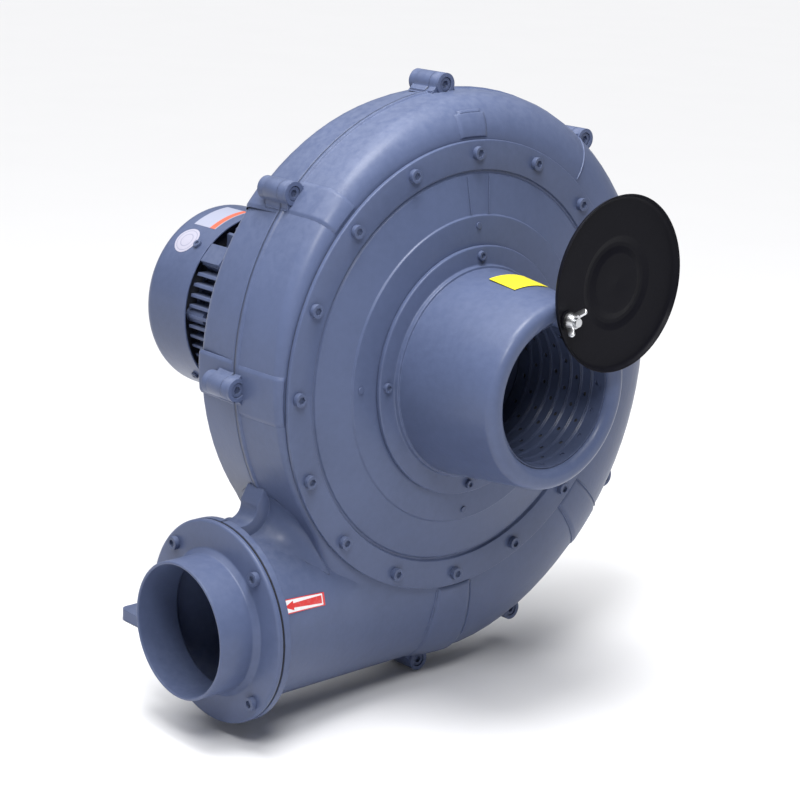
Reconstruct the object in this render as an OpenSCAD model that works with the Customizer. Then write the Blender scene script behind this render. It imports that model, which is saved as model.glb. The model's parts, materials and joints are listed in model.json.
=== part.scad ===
// Turbo blower: a centrifugal blower with a split cast volute, a silenced inlet
// with a swing-away damper disc, and a flange-mounted motor on a pedestal.
// The shaft lies along Y. The inlet faces -Y, the motor stands on the +Y side,
// the outlet leaves towards -X, and the floor is z = 0.

/* [Casing] */
// Casing radius at the left side, where the scroll is tightest
scroll_left = 226.5; // [224:0.5:232]
// Casing radius at the upper left
scroll_upper_left = 239.5; // [236:0.5:246]
// Casing radius at the top
scroll_top = 256; // [250:0.5:264]
// Casing radius at the upper right
scroll_upper_right = 279; // [272:0.5:288]
// Casing radius at the right side
scroll_right = 303; // [296:0.5:310]
// Casing radius at the lower right
scroll_lower_right = 316; // [308:0.5:320]
// Casing radius at the bottom, where the outlet leaves
scroll_bottom = 310; // [302:0.5:314]
// Depth of each casing half from the split to its outer face
half_depth = 60; // [56:0.5:66]
// Wall thickness of the casing
wall = 6; // [4:0.5:8]
// Radius of the opening in the front casing
opening_r = 196; // [193:0.5:198]

/* [Outlet] */
// Height of the outlet axis below the shaft
outlet_drop = 222; // [218:0.5:226]
// Distance from the shaft to the end of the outlet spigot
outlet_reach = 286; // [270:1:320]
// Outside radius of the outlet spigot
spigot_r = 65; // [60:0.5:68]
// Length of the outlet spigot in front of its flange
spigot_len = 41; // [25:1:60]
// Outside radius of the outlet flanges
flange_r = 96.5; // [94:0.5:102]
// Distance from the outlet axis to each flange bolt, sideways and up
flange_bolt_off = 60.2; // [58:0.2:62]
// Outside radius of the outlet neck behind the flange
neck_r = 82; // [80:0.5:84]

/* [Front cover] */
// Outside radius of the front cover
cover_r = 218; // [215:0.5:220]
// Radius of the cover screw circle
cover_screw_r = 206.2; // [204:0.2:208]
// Number of cover screws
cover_screws_n = 16; // [8:1:20]
// Thickness of the cover
cover_t = 4.5; // [3:0.5:6]

/* [Inlet] */
// Length of the inlet duct from its flange to the front of its lip
duct_len = 117; // [90:1:140]
// Radius of the inlet duct where it meets its flange
duct_base_r = 102; // [98:0.5:106]
// Radius of the inlet duct behind its lip
duct_tip_r = 89; // [86:0.5:92]
// Inside radius of the inlet mouth
mouth_r = 69; // [67.5:0.5:71]
// Outside radius of the inlet duct flange
duct_flange_r = 120.5; // [118:0.5:124]
// Rows of holes along the perforated liner
liner_rows = 8; // [4:1:10]

/* [Damper] */
// Radius of the damper disc
damper_r = 83; // [82:0.5:86]
// Radius of the circle about the shaft on which the damper stud stands
damper_pivot_r = 73.8; // [73:0.2:76]
// Distance from the damper stud to the centre of the disc
damper_arm = 68.5; // [66:0.5:74]
// Direction from the stud to the centre of the open disc, in degrees
damper_open_angle = 23.3; // [10:0.2:40]

/* [Impeller] */
// Outside radius of the impeller
wheel_r = 190; // [180:0.5:191]
// Width of the blades at the rim of the impeller
wheel_tip_w = 24; // [18:0.5:28]
// Number of blades
blades_n = 12; // [8:1:14]
// Thickness of a blade
blade_t = 2.5; // [2:0.5:4]

/* [Motor] */
// Radius of the motor shaft at the impeller
shaft_r = 12; // [11:0.5:14]
// Outside radius over the cooling fins
fin_r = 92; // [90:0.5:94]
// Radius of the motor barrel under the fins
barrel_r = 76; // [74:0.5:78]
// Pitch of the cooling fins
fin_pitch = 10.7; // [9:0.1:13]
// Outside radius of the fan cowl
cowl_r = 98; // [96:0.5:100]
// Distance from the split of the casing to the back of the fan cowl
motor_back = 322; // [315:1:340]

/* [Stand] */
// Height of the shaft above the floor
shaft_height = 330; // [329:1:360]
// Distance between the foot bolts, across the stand
foot_bolts_x = 260; // [240:2:280]
// Distance between the foot bolts, along the stand
foot_bolts_y = 172; // [160:2:180]
// Thickness of a foot
foot_t = 12; // [8:0.5:14]

/* [Hidden] */
// Fineness of large, middle and small rounds
fn_big = 144;
fn_mid = 72;
fn_small = 36;
// Play between round pieces that are pressed or screwed together
fit_gap = 0.02;
// Play between a thread and its hole, which are drawn plain
thread_gap = 0.05;
// Running clearance of a shaft or pin in its bore
run_gap = 0.05;
// Play of a bolt in a plain clearance hole
bolt_gap = 0.5;
// Overlap that makes a cut run clear of a face
over = 1;

// Where the stand's foot pattern lies along the shaft, from the casing split
foot_mid_y = 176;

// Casing section
cover_gasket_t = 1;
corner_min = 7;
corner_clear = 1;
band_min = 4;
front_draft = 2;
rear_draft = 5;
lip_h = 1.4;
lip_w = 4;
rear_lip_h = 0.7;
scroll_inner_r = opening_r - 2;
tongue_t = 325;
tongue_r = scroll_left - 4.5;
stations = 90;
corner_steps = 7;
rear_pad_r = 108;
rear_pad_y = half_depth + 1;

// Casing bosses and their screws, by angle seen from the front
boss_angles = [180, 135, 88.5, 44, 0, -32, -64.5, -88.5];
boss_r = 11;
boss_out = 6;
boss_front = 12;
boss_rear = 28;
casing_bolt_r = 4;
casing_head_r = 6.5;
casing_head_h = 6;
tongue_boss = [-209, -146];

// Outlet
flange_t = 7;
loose_t = 6;
outlet_gasket_t = 1;
spigot_wall = 3;
neck_end_x = outlet_reach - spigot_len - loose_t - outlet_gasket_t;
outlet_bolt_r = 4;
neck_stations = 12;
neck_steps = 14;

// Front cover
cover_y = -half_depth - cover_gasket_t;
cover_rise = 7;
cover_step_in = 188.7;
cover_step_up = 148.5;
cover_bore_r = 76;
cover_face_y = cover_y - cover_t - cover_rise;
cover_bolt_r = 4;
cover_head_r = 6.3;
cover_head_h = 5;
rivet_circle_r = 139.2;
rivet_r = 2;

// Inlet duct and liner
duct_flange_t = 5;
duct_wall = 3;
duct_front_y = cover_face_y - duct_len;
lip_round = 9;
duct_screw_circle_r = 111.7;
duct_bolt_r = 3;
duct_head_r = 4.5;
duct_head_h = 3.6;
liner_t = 1.2;
liner_r = mouth_r - 0.3;
liner_hole_r = 2;
liner_hole_n = 16;
liner_front_y = duct_front_y + 7;
liner_back_y = cover_face_y + cover_t - 1.5;
bell_t = 1.5;
bell_throat_r = 64;

// Damper
damper_t = 1.5;
damper_rim = 5;
damper_flare = 3.5;
damper_y = duct_front_y - 6;
damper_pivot_a = 93;
stud_r = 4;
pivot = [damper_pivot_r * cos(damper_pivot_a), damper_pivot_r * sin(damper_pivot_a)];

// Impeller
hub_back_y = 46;
hub_front_y = 8;
hub_r = 26;
back_y = 28;
back_t = 3;
shroud_t = 2;
eye_r = bell_throat_r + 1.7;
eye_front_y = -44;
eye_back_y = -34;
blade_in_r = 74;

// Motor
flange_pad_t = 12;
motor_flange_r = 100;
motor_spigot_r = 65;
motor_spigot_h = 5;
motor_bolt_circle_r = 82.5;
motor_bolt_r = 5;
bearing_r = 26;
bearing_bore_r = 12.5;
bearing_w = 15;
ball_r = 3.97;
ball_circle_r = 19.25;
balls_n = 9;
flange_y = rear_pad_y;
front_bearing_y = flange_y + 16;
barrel_front_y = flange_y + 34;
barrel_back_y = motor_back - 72;
rear_bearing_y = barrel_back_y - 10;
shield_back_y = barrel_back_y + 10;
cowl_front_y = barrel_back_y - 1;
cowl_t = 1.5;
cowl_round = 14;
core_front_y = 118;
core_back_y = 208;
core_r = 70;
air_r = 40;
air_gap = 0.4;
winding_out = 16;
fan_y = barrel_back_y + 24;
fan_w = 20;
fan_r = 80;
fan_shaft_r = 9;
shaft_front_y = flange_y - 50;
shaft_back_y = motor_back - 23;

// Terminal box on top of the motor
box_w = 92;
box_l = 80;
box_h = 42;
box_front_y = barrel_front_y + 4;
box_wall = 3;
box_base_z = fin_r + 1;
lid_t = 5;
gland_r = 10;
gland_bore_r = 6.5;

// Motor feet and stand
pad_x = 62;
pad_front_y = 116;
pad_back_y = 190;
pad_z = -98;
cradle_t = 8;
foot_half_x = 150;
foot_front_y = 66;
foot_back_y = 285;
foot_w = 40;
foot_hole_r = 6;
leg_t = 8;

// Casing details
hollow_inner_r = 124;
rear_ring_r = 134;
boss_foot = 17;
boss_tap = 22;
casing_recess = 7;
seat_r = 214;
seat_back = half_depth - 16;
rear_ribs_n = 8;
rib_t = 6;
rib_h = 5;
rib_reach = 200;

// Cover details
cover_edge = 1;
cover_step = 1.5;

// Inlet details
lip_steps = 8;
nose_back_y = duct_front_y + 19;
stud_pad_r = 8.5;
bead_h = 0.7;
foam_front_y = nose_back_y + 4;
foam_back_y = cover_face_y - 1;
bell_flange_r = 145;
bell_y = cover_face_y + cover_t;
bell_end_y = -38;
bell_flare = 6;
bell_steps = 6;

// Damper details
dish_r = 36;
dish_w = 7;
dish_h = 2;
stud_end = -damper_y + 14;
washer_r = 9;
wing_angle = 52.5;
wing_body_r = 6.5;
wing_body_h = 9;
wing_t = 3;
wing_tip = [11.7, 10.9];
wing_tip_r = 3.2;

// Impeller details
blade_tip_r = wheel_r - 2;
blade_in_angle = 25;
blade_out_angle = 45;
weld_gap = 0.1;
hub_flange_r = 50;
hub_flange_t = 6;
hub_rivet_circle_r = 38;
rivet_hub_r = 3;
key_w = 8;
key_h = 7;
key_top = shaft_r + 3;
key_front_y = 15;
key_len = 28;
hub_bolt_r = 4;
hub_bolt_len = 28;
hub_washer_r = 14;
hub_washer_t = 3;

// Motor details
core_shaft_r = 17;
clip_y = shaft_back_y - 6;
clip_t = 1.2;
clip_deep = 0.8;
race_out_r = 21.8;
race_in_r = 16.7;
ball_gap = 0.05;
seal_y = 62;
seal_w = 8;
seal_r = 20;
seal_gap = 0.3;
bore_clear_r = 14;
shield_neck_r = 70;
ear_circle_r = 83;
ear_r = 8;
ear_t = 6;
ear_len = 22;
ear_bolt_r = 3;
fins_half = 5;
fin_t = 3;
lift_angle = 138;
lift_r = 97;
lift_l = 30;
lift_w = 22;
foot_pad_w = 28;
foot_pad_t = 10;
foot_web_top = 50;
pad_bolt_r = 4;
arm_w = 14;
arm_t = 8;
arm_reach = cowl_r - cowl_t - 0.45;
cowl_screw_y = cowl_front_y + 17;
cowl_bolt_r = 2.5;
washer_room = 2;
fan_hub_r = 16;
fan_blades_n = 7;
grille_in_r = 14;
grille_pitch = 9;
grille_slot = 5.5;
grille_spoke = 6;
lid_screw_in = 5;
lid_screw_deep = 8;

// Stand details
foot_round = 9;
cradle_half_x = 78;
cradle_bottom = pad_z - cradle_t;
foot_top = -shaft_height + foot_t;
leg_x = 42;

// Placing helpers

// The model is drawn about the shaft and the casing split, then stood on the floor
module stand_up() translate([0, -foot_mid_y, shaft_height]) children();

// Along the shaft: local z runs towards +Y, starting at y
module along_y(y = 0) translate([0, y, 0]) rotate([-90, 0, 0]) children();

// Out of the front: local z runs towards -Y, starting at y
module along_front(d = 0) translate([0, -d, 0]) rotate([90, 0, 0]) children();

// At an angle seen from the front, at radius r from the shaft
module at_polar(a, r) translate([r * cos(a), 0, r * sin(a)]) children();

// A turned piece about the shaft, from [radius, y] points
module turned(points, fn = fn_big) rotate([-90, 0, 0]) rotate_extrude($fn = fn) polygon(points);

// Along the outlet: local z runs towards -X from the shaft plane
module along_outlet(x = 0) translate([-x, 0, -outlet_drop]) rotate([0, -90, 0]) children();

// A tube with its local axis on z
module tube(ro, ri, h, fn = fn_big) difference() {
  cylinder(r = ro, h = h, $fn = fn);
  translate([0, 0, -over]) cylinder(r = ri, h = h + 2 * over, $fn = fn);
}

// A socket-head screw: the head's underside is at z = 0 and the shank runs down
module socket_screw(r, head_r, head_h, len) difference() {
  union() {
    translate([0, 0, -len]) cylinder(r = r, h = len + 0.1, $fn = fn_small);
    cylinder(r = head_r, h = head_h, $fn = fn_small);
  }
  translate([0, 0, head_h / 2]) cylinder(r = head_r * 0.58, h = head_h, $fn = 6);
}

// A hexagon bolt, its head above z = 0 and its shank below
module hex_bolt(r, len) {
  translate([0, 0, -len]) cylinder(r = r, h = len + 0.1, $fn = fn_small);
  cylinder(r = r * 1.85, h = r * 1.3, $fn = 6);
}

module flange_corners() for (sy = [-1, 1], sz = [-1, 1])
  translate([sz * flange_bolt_off, sy * flange_bolt_off, 0]) children();

// Scroll law

// Radii of the casing by the angle turned clockwise from the left side
scroll_knots = [[tongue_t - 360, tongue_r], [0, scroll_left], [45, scroll_upper_left],
  [90, scroll_top], [135, scroll_upper_right], [180, scroll_right],
  [225, scroll_lower_right], [270, scroll_bottom],
  [298, (scroll_bottom + tongue_r) / 2], [tongue_t, tongue_r]];

function knot_slope(i) = i == 0 || i == len(scroll_knots) - 1 ? 0 :
  (scroll_knots[i + 1][1] - scroll_knots[i - 1][1]) / (scroll_knots[i + 1][0] - scroll_knots[i - 1][0]);

function knot_before(t, i = 0) =
  i >= len(scroll_knots) - 2 || t < scroll_knots[i + 1][0] ? i : knot_before(t, i + 1);

// A smooth curve through the knots: cubic pieces that share their slopes
function scroll_r(t) = let(
    i = knot_before(t),
    a = scroll_knots[i], b = scroll_knots[i + 1],
    w = b[0] - a[0], u = (t - a[0]) / w)
  a[1] * (1 + 2 * u) * pow(1 - u, 2) + b[1] * u * u * (3 - 2 * u)
  + w * knot_slope(i) * u * pow(1 - u, 2) - w * knot_slope(i + 1) * u * u * (1 - u);

// The angle seen from the front, counter-clockwise from +X, as a turn from the left
function turn_of(a) = let(t = (180 - a) % 360, p = t < 0 ? t + 360 : t) p > tongue_t ? p - 360 : p;

// One half of the scroll section as [radius, depth] points. grow is added to
// the outside, so minus the wall gives the hollow, which runs past the split.
function half_section(r, grow, draft, lip, inner) = let(
    ro = r + grow,
    depth = half_depth + grow,
    a = max(corner_min, r - cover_r - corner_clear) + grow,
    b = min(max(corner_min, r - cover_r - corner_clear), half_depth - band_min) + grow,
    band = depth - b,
    rc = ro - draft * band / depth)
  concat(
    [[inner, grow < 0 ? -over : 0], [inner, depth]],
    [for (i = [0:corner_steps]) let(q = 90 - 90 * i / corner_steps)
      [rc - a + a * cos(q), band + b * sin(q)]],
    lip > 0 ? [[ro - draft * (lip_w + lip_h) / depth, lip_w + lip_h], [ro + lip, lip_w], [ro + lip, 0]]
            : [[ro, grow < 0 ? -over : 0]]);

// A ring of such sections about the shaft, closed on itself. side is -1 for the
// front half and +1 for the rear half.
module scroll_ring(side, grow, draft, lip, inner) {
  sections = [for (k = [0:stations - 1]) let(t = tongue_t - 360 + 360 * k / stations)
    [for (p = half_section(scroll_r(t), grow, draft, lip, inner))
      [p[0] * cos(180 - t), side * p[1], p[0] * sin(180 - t)]]];
  loft_ring(sections, side < 0);
}

// Skins equal rings of points that follow one another round a closed loop
module loft_ring(rings, flip) {
  n = len(rings);
  m = len(rings[0]);
  faces = [for (k = [0:n - 1], i = [0:m - 1]) let(
      a = k * m + i, b = k * m + (i + 1) % m,
      c = ((k + 1) % n) * m + (i + 1) % m, d = ((k + 1) % n) * m + i)
    each flip ? [[a, b, c], [a, c, d]] : [[a, c, b], [a, d, c]]];
  polyhedron([for (r = rings) each r], faces);
}

// Skins equal rings of points along an open path and caps both ends
module loft_open(rings, flip) {
  n = len(rings);
  m = len(rings[0]);
  sides = [for (k = [0:n - 2], i = [0:m - 1]) let(
      a = k * m + i, b = k * m + (i + 1) % m,
      c = (k + 1) * m + (i + 1) % m, d = (k + 1) * m + i)
    each flip ? [[a, b, c], [a, c, d]] : [[a, c, b], [a, d, c]]];
  first = [for (i = [0:m - 1]) i];
  last = [for (i = [m - 1:-1:0]) (n - 1) * m + i];
  caps = flip ? [[for (i = [m - 1:-1:0]) first[i]], [for (i = [m - 1:-1:0]) last[i]]] : [first, last];
  polyhedron([for (r = rings) each r], concat(sides, caps));
}

// Half of the outlet neck: an ellipse that rounds out into a pipe at the flange
module neck(side, grow, end_x) {
  rings = [for (k = [0:neck_stations]) let(
      x = -8 + (end_x + 8) * k / neck_stations,
      u = max(0, (x - 40) / (neck_end_x - 40)),
      tall = scroll_bottom - outlet_drop - 0.5 + (neck_r - scroll_bottom + outlet_drop + 0.5) * u * u,
      wide = half_depth - 1 + (neck_r - half_depth + 1) * u * u)
    concat([for (i = [0:neck_steps]) let(q = 90 - 180 * i / neck_steps)
      [-x, side * max(0, (wide + grow) * cos(q)), -outlet_drop + (tall + grow) * sin(q)]],
      grow < 0 ? [[-x, -side * over, -outlet_drop - tall - grow], [-x, -side * over, -outlet_drop + tall
        + grow]] : [])];
  loft_open(rings, side < 0);
}

module hollow_shell(side, draft, lip, inner) difference() {
  union() {
    scroll_ring(side, 0, draft, lip, inner);
    neck(side, 0, neck_end_x - 1);
  }
  scroll_ring(side, -wall, draft, 0, hollow_inner_r);
  neck(side, -wall, neck_end_x + over);
}

// Bosses on the split, by place seen from the front
function boss_place(a) = (scroll_r(turn_of(a)) + boss_out) * [cos(a), sin(a)];
bosses = concat([for (a = boss_angles) boss_place(a)], [tongue_boss]);

module at_bosses() for (p = bosses) translate([p[0], 0, p[1]]) children();

// A foot that flares from a boss down to the casing wall, from y0 to y1
module boss_feet(y0, y1) for (a = boss_angles) rotate([0, -a, 0])
  translate([scroll_r(turn_of(a)), y1, 0]) rotate([90, 0, 0])
    linear_extrude(y1 - y0)
      polygon([[-wall / 2, -boss_foot], [-wall / 2, boss_foot], [boss_out, boss_r * 0.8], [boss_out,
        -boss_r * 0.8]]);

// Half of the casing's own outlet flange
module flange_half(side) difference() {
  along_outlet(neck_end_x - flange_t) tube(flange_r, neck_r - 2, flange_t);
  translate([-neck_end_x - over, side > 0 ? -flange_r - over : 0, -outlet_drop - flange_r - over])
    cube([flange_t + 2 * over, flange_r + over, 2 * (flange_r + over)]);
}

module flange_taps(side) for (sz = [-1, 1]) along_outlet(neck_end_x - flange_t - over)
  translate([sz * flange_bolt_off, side * flange_bolt_off, 0])
    cylinder(r = outlet_bolt_r + thread_gap, h = flange_t + 2 * over, $fn = fn_small);

module cover_screw_places() for (k = [0:cover_screws_n - 1])
  at_polar(90 + 360 * k / cover_screws_n, cover_screw_r) children();

module front_casing() color("slategray") difference() {
  union() {
    hollow_shell(-1, front_draft, lip_h, scroll_inner_r);
    along_front(seat_back) tube(seat_r, scroll_inner_r, half_depth - seat_back);
    at_bosses() along_front() cylinder(r = boss_r, h = boss_front, $fn = fn_mid);
    boss_feet(-boss_front + 2, 0);
    flange_half(-1);
  }
  along_front(seat_back - over) cylinder(r = opening_r, h = half_depth - seat_back + 2 * over,
    $fn = fn_big);
  cover_screw_places() along_front(seat_back - over)
    cylinder(r = cover_bolt_r + thread_gap, h = half_depth - seat_back + 2 * over, $fn = fn_small);
  at_bosses() along_front(-over) {
    cylinder(r = casing_bolt_r + bolt_gap, h = boss_front + 2 * over, $fn = fn_small);
    translate([0, 0, over + boss_front - casing_recess])
      cylinder(r = casing_head_r + bolt_gap, h = casing_recess + over, $fn = fn_small);
  }
  flange_taps(-1);
}

module rear_casing() color("slategray") difference() {
  union() {
    hollow_shell(1, rear_draft, rear_lip_h, rear_ring_r - 4);
    along_y(half_depth - wall) cylinder(r = rear_ring_r, h = wall, $fn = fn_big);
    along_y(half_depth - wall - 2) cylinder(r = rear_pad_r, h = wall + 3, $fn = fn_big);
    at_bosses() along_y() cylinder(r = boss_r, h = boss_rear, $fn = fn_mid);
    boss_feet(0, boss_rear - 6);
    for (k = [0:rear_ribs_n - 1]) rotate([0, -360 * (k + 0.5) / rear_ribs_n, 0])
      translate([rear_pad_r - 2, half_depth - 1, -rib_t / 2])
        cube([rib_reach - rear_pad_r, rib_h + 1, rib_t]);
    flange_half(1);
  }
  along_y(half_depth - wall - 2 - over) cylinder(r = motor_spigot_r + fit_gap, h = wall + 3 + 2 * over,
    $fn = fn_big);
  motor_bolt_places() along_y(half_depth - wall - 2 - over)
    cylinder(r = motor_bolt_r + thread_gap, h = wall + 3 + 2 * over, $fn = fn_small);
  at_bosses() along_y(-over) cylinder(r = casing_bolt_r + thread_gap, h = boss_tap + over, $fn = fn_small);
  flange_taps(1);
}

module casing_screws() color("dimgray") at_bosses() along_front(boss_front - casing_recess)
  socket_screw(casing_bolt_r, casing_head_r, casing_head_h, boss_front - casing_recess + boss_tap - 4);

module cover_plate() color("lightslategray") difference() {
  turned([[cover_bore_r, cover_face_y + cover_t], [cover_step_up - 3, cover_face_y + cover_t],
    [cover_step_in - 4, cover_y], [cover_r - cover_edge, cover_y], [cover_r, cover_y - cover_edge],
    [cover_r, cover_y - cover_t + cover_edge], [cover_r - cover_edge, cover_y - cover_t],
    [cover_step_in + 1, cover_y - cover_t], [cover_step_in, cover_y - cover_t + cover_step],
    [cover_step_up + 1, cover_face_y + cover_step + 0.5], [cover_step_up, cover_face_y],
    [cover_bore_r, cover_face_y]]);
  cover_screw_places() along_front(half_depth)
    cylinder(r = cover_bolt_r + bolt_gap, h = cover_t + 3, $fn = fn_small);
  rivet_places() along_front(-cover_face_y - cover_t - over)
    cylinder(r = rivet_r + thread_gap, h = cover_t + 2 * over, $fn = fn_small);
  duct_screw_places() along_front(-cover_face_y - cover_t - over)
    cylinder(r = duct_bolt_r + thread_gap, h = cover_t + 2 * over, $fn = fn_small);
}

module rivet_places() for (k = [0:3]) at_polar(90 * k, rivet_circle_r) children();
module duct_screw_places() for (k = [0:3]) at_polar(90 * k, duct_screw_circle_r) children();
module motor_bolt_places() for (k = [0:3]) at_polar(45 + 90 * k, motor_bolt_circle_r) children();

module cover_gasket() color("black") difference() {
  along_front(half_depth) tube(cover_r - 1, opening_r + 0.5, cover_gasket_t);
  cover_screw_places() along_front(half_depth - over)
    cylinder(r = cover_bolt_r + bolt_gap, h = cover_gasket_t + 2 * over, $fn = fn_small);
}

module cover_screws() color("silver") cover_screw_places() along_front(-cover_y + cover_t)
  socket_screw(cover_bolt_r, cover_head_r, cover_head_h, cover_t + cover_gasket_t
    + half_depth - seat_back - 2);

// The duct is a spun cone with a solid rounded lip and a flange
module inlet_duct() color("lightslategray") difference() {
  union() {
    turned(concat(
      [[duct_base_r - duct_wall, cover_face_y], [duct_flange_r, cover_face_y],
        [duct_flange_r, cover_face_y - duct_flange_t + 1], [duct_flange_r - 1,
        cover_face_y - duct_flange_t],
        [duct_base_r + 2, cover_face_y - duct_flange_t], [duct_base_r, cover_face_y - duct_flange_t - 2]],
      [for (k = [0:lip_steps]) let(q = 90 * k / lip_steps)
        [duct_tip_r - lip_round + lip_round * cos(q), duct_front_y + lip_round - lip_round * sin(q)]],
      [for (k = [0:lip_steps]) let(q = 90 * k / lip_steps)
        [mouth_r + lip_round - lip_round * sin(q), duct_front_y + lip_round - lip_round * cos(q)]],
      [[mouth_r, nose_back_y], [duct_tip_r - duct_wall, nose_back_y + 3]]));
    translate([pivot[0], 0, pivot[1]]) along_front(-nose_back_y)
      cylinder(r = stud_pad_r, h = nose_back_y - duct_front_y, $fn = fn_mid);
  }
  duct_screw_places() along_front(-cover_face_y - over)
    cylinder(r = duct_bolt_r + bolt_gap, h = duct_flange_t + 2 * over, $fn = fn_small);
  translate([pivot[0], 0, pivot[1]]) along_front(-nose_back_y - 3)
    cylinder(r = stud_r + fit_gap, h = 40, $fn = fn_small);
  along_front(-cover_face_y) cylinder(r = mouth_r - 0.01, h = duct_len + 2, $fn = fn_big);
}

module inlet_screws() color("silver") duct_screw_places() along_front(-cover_face_y + duct_flange_t)
  socket_screw(duct_bolt_r, duct_head_r, duct_head_h, duct_flange_t + cover_t - 0.5);

// A thin tube with a pair of beads between the rows of small holes
module perforated_liner() color("gray") difference() {
  turned(concat(
    [[liner_r, liner_front_y], [liner_r, liner_back_y], [liner_r - liner_t, liner_back_y]],
    [for (k = [liner_rows - 2:-1:0]) each let(y = row_y(k + 0.5))
      [[liner_r - liner_t, y + 2], [liner_r - liner_t - bead_h, y + 1], [liner_r - liner_t, y],
       [liner_r - liner_t - bead_h, y - 1], [liner_r - liner_t, y - 2]]],
    [[liner_r - liner_t, liner_front_y]]));
  for (k = [0:liner_rows - 1], i = [0:liner_hole_n - 1])
    translate([0, row_y(k), 0]) rotate([0, 360 * (i + (k % 2) / 2) / liner_hole_n, 0])
      translate([0, 0, liner_r - liner_t - 2]) cylinder(r = liner_hole_r, h = liner_t + 4, $fn = fn_small);
}
function row_y(k) = liner_front_y + (k + 0.75) * (liner_back_y - liner_front_y) / (liner_rows + 0.5);

module silencer_foam() color("darkslategray") turned([
  [liner_r + 0.3, foam_front_y], [liner_r + 0.3, foam_back_y],
  [foam_r(foam_back_y), foam_back_y], [foam_r(foam_front_y), foam_front_y]]);
// Inside radius of the duct wall at y, less a little play
function foam_r(y) = let(y0 = nose_back_y + 3, y1 = cover_face_y)
  duct_tip_r - duct_wall + (duct_base_r - duct_tip_r) * (y - y0) / (y1 - y0) - 0.5;

// The inlet cone leads the air from the liner into the impeller eye
module bellmouth() color("gray") difference() {
  turned(concat(
    [[bell_flange_r, bell_y], [bell_flange_r, bell_y + bell_t]],
    [for (k = [0:bell_steps]) let(q = k / bell_steps)
      [bell_throat_r + bell_flare * pow(1 - q, 2), bell_y + bell_t + (bell_end_y - bell_y - bell_t) * q]],
    [for (k = [bell_steps:-1:0]) let(q = k / bell_steps)
      [bell_throat_r - bell_t + bell_flare * pow(1 - q, 2), bell_y + (bell_end_y - bell_y) * q]]));
  rivet_places() along_front(-bell_y - bell_t - over)
    cylinder(r = rivet_r + thread_gap, h = bell_t + 2 * over, $fn = fn_small);
}

module bellmouth_rivets() color("silver") rivet_places() along_front(-bell_y - bell_t) {
  cylinder(r = rivet_r, h = bell_t + cover_t + 1, $fn = fn_small);
  translate([0, 0, bell_t + cover_t]) cylinder(r = rivet_r * 1.6, h = 1.2, $fn = fn_small);
  translate([0, 0, -1]) cylinder(r = rivet_r * 1.6, h = 1, $fn = fn_small);
}

disc_centre = pivot + damper_arm * [cos(damper_open_angle), sin(damper_open_angle)];

// A pressed disc: flat, with a ring groove round its middle and a rim that leans forwards
module damper_disc() color("black") difference() {
  translate([disc_centre[0], 0, disc_centre[1]]) turned([
    [0, damper_y], [dish_r - dish_w, damper_y], [dish_r - 2, damper_y + dish_h],
    [dish_r + 2, damper_y + dish_h], [dish_r + dish_w, damper_y], [damper_r - damper_flare, damper_y],
    [damper_r - 1, damper_y - damper_rim], [damper_r, damper_y - damper_rim + 0.6],
    [damper_r - damper_flare + 1.2, damper_y + damper_t], [dish_r + dish_w + 0.3, damper_y + damper_t],
    [dish_r + 2.3, damper_y + damper_t + dish_h], [dish_r - 2.3, damper_y + damper_t + dish_h],
    [dish_r - dish_w - 0.3, damper_y + damper_t], [0, damper_y + damper_t]]);
  translate([pivot[0], 0, pivot[1]]) along_front(-damper_y - 5)
    cylinder(r = stud_r + run_gap, h = 10, $fn = fn_small);
}

// The stud screws into the lip; its collar holds the disc off the lip
module damper_stud() color("silver") translate([pivot[0], 0, pivot[1]]) {
  along_front(-nose_back_y + 2) cylinder(r = stud_r, h = stud_end - (-nose_back_y + 2), $fn = fn_mid);
  along_front(-duct_front_y) cylinder(r = stud_pad_r - 1.5, h = duct_front_y - damper_y - damper_t - 0.1,
    $fn = fn_mid);
}

module damper_washers() color("silver") translate([pivot[0], 0, pivot[1]])
  along_front(-damper_y + 0.1) tube(washer_r, stud_r + fit_gap, 1.5, fn_mid);

module wing_nut() color("silver") translate([pivot[0], 0, pivot[1]]) along_front(-damper_y + 1.7)
  rotate([0, 0, wing_angle]) difference() {
    union() {
      cylinder(r = wing_body_r, h = wing_body_h, $fn = fn_mid);
      translate([0, 0, 1]) cylinder(r = wing_body_r + 1.5, h = 3, $fn = fn_mid);
      for (s = [0, 180]) rotate([0, 0, s]) rotate([90, 0, 0]) translate([0, 0, -wing_t / 2])
        linear_extrude(wing_t) union() {
          polygon([[wing_body_r - 3, 7], [wing_body_r + 1.5, 3], [wing_tip[0] + 2, wing_tip[1] - 2],
            [wing_tip[0] - 2, wing_tip[1] + 2]]);
          translate(wing_tip) circle(r = wing_tip_r, $fn = fn_small);
        }
    }
    translate([0, 0, -over]) cylinder(r = stud_r + run_gap, h = wing_body_h + 2 * over, $fn = fn_mid);
  }

module outlet_spigot() color("slategray") difference() {
  along_outlet(neck_end_x + outlet_gasket_t) rotate_extrude($fn = fn_big) polygon([
    [spigot_r - spigot_wall, 0], [flange_r, 0], [flange_r, loose_t - 1], [flange_r - 1, loose_t],
    [spigot_r + 3, loose_t], [spigot_r + 1, loose_t + 0.8], [spigot_r, loose_t + 3],
    [spigot_r, loose_t + spigot_len], [spigot_r - spigot_wall, loose_t + spigot_len]]);
  along_outlet(neck_end_x) flange_corners() cylinder(r = outlet_bolt_r + bolt_gap, h = loose_t + 3,
    $fn = fn_small);
}

module outlet_gasket() color("black") difference() {
  along_outlet(neck_end_x) tube(flange_r - 1, spigot_r + 2, outlet_gasket_t);
  along_outlet(neck_end_x - over) flange_corners()
    cylinder(r = outlet_bolt_r + bolt_gap, h = outlet_gasket_t + 2 * over, $fn = fn_small);
}

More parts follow.
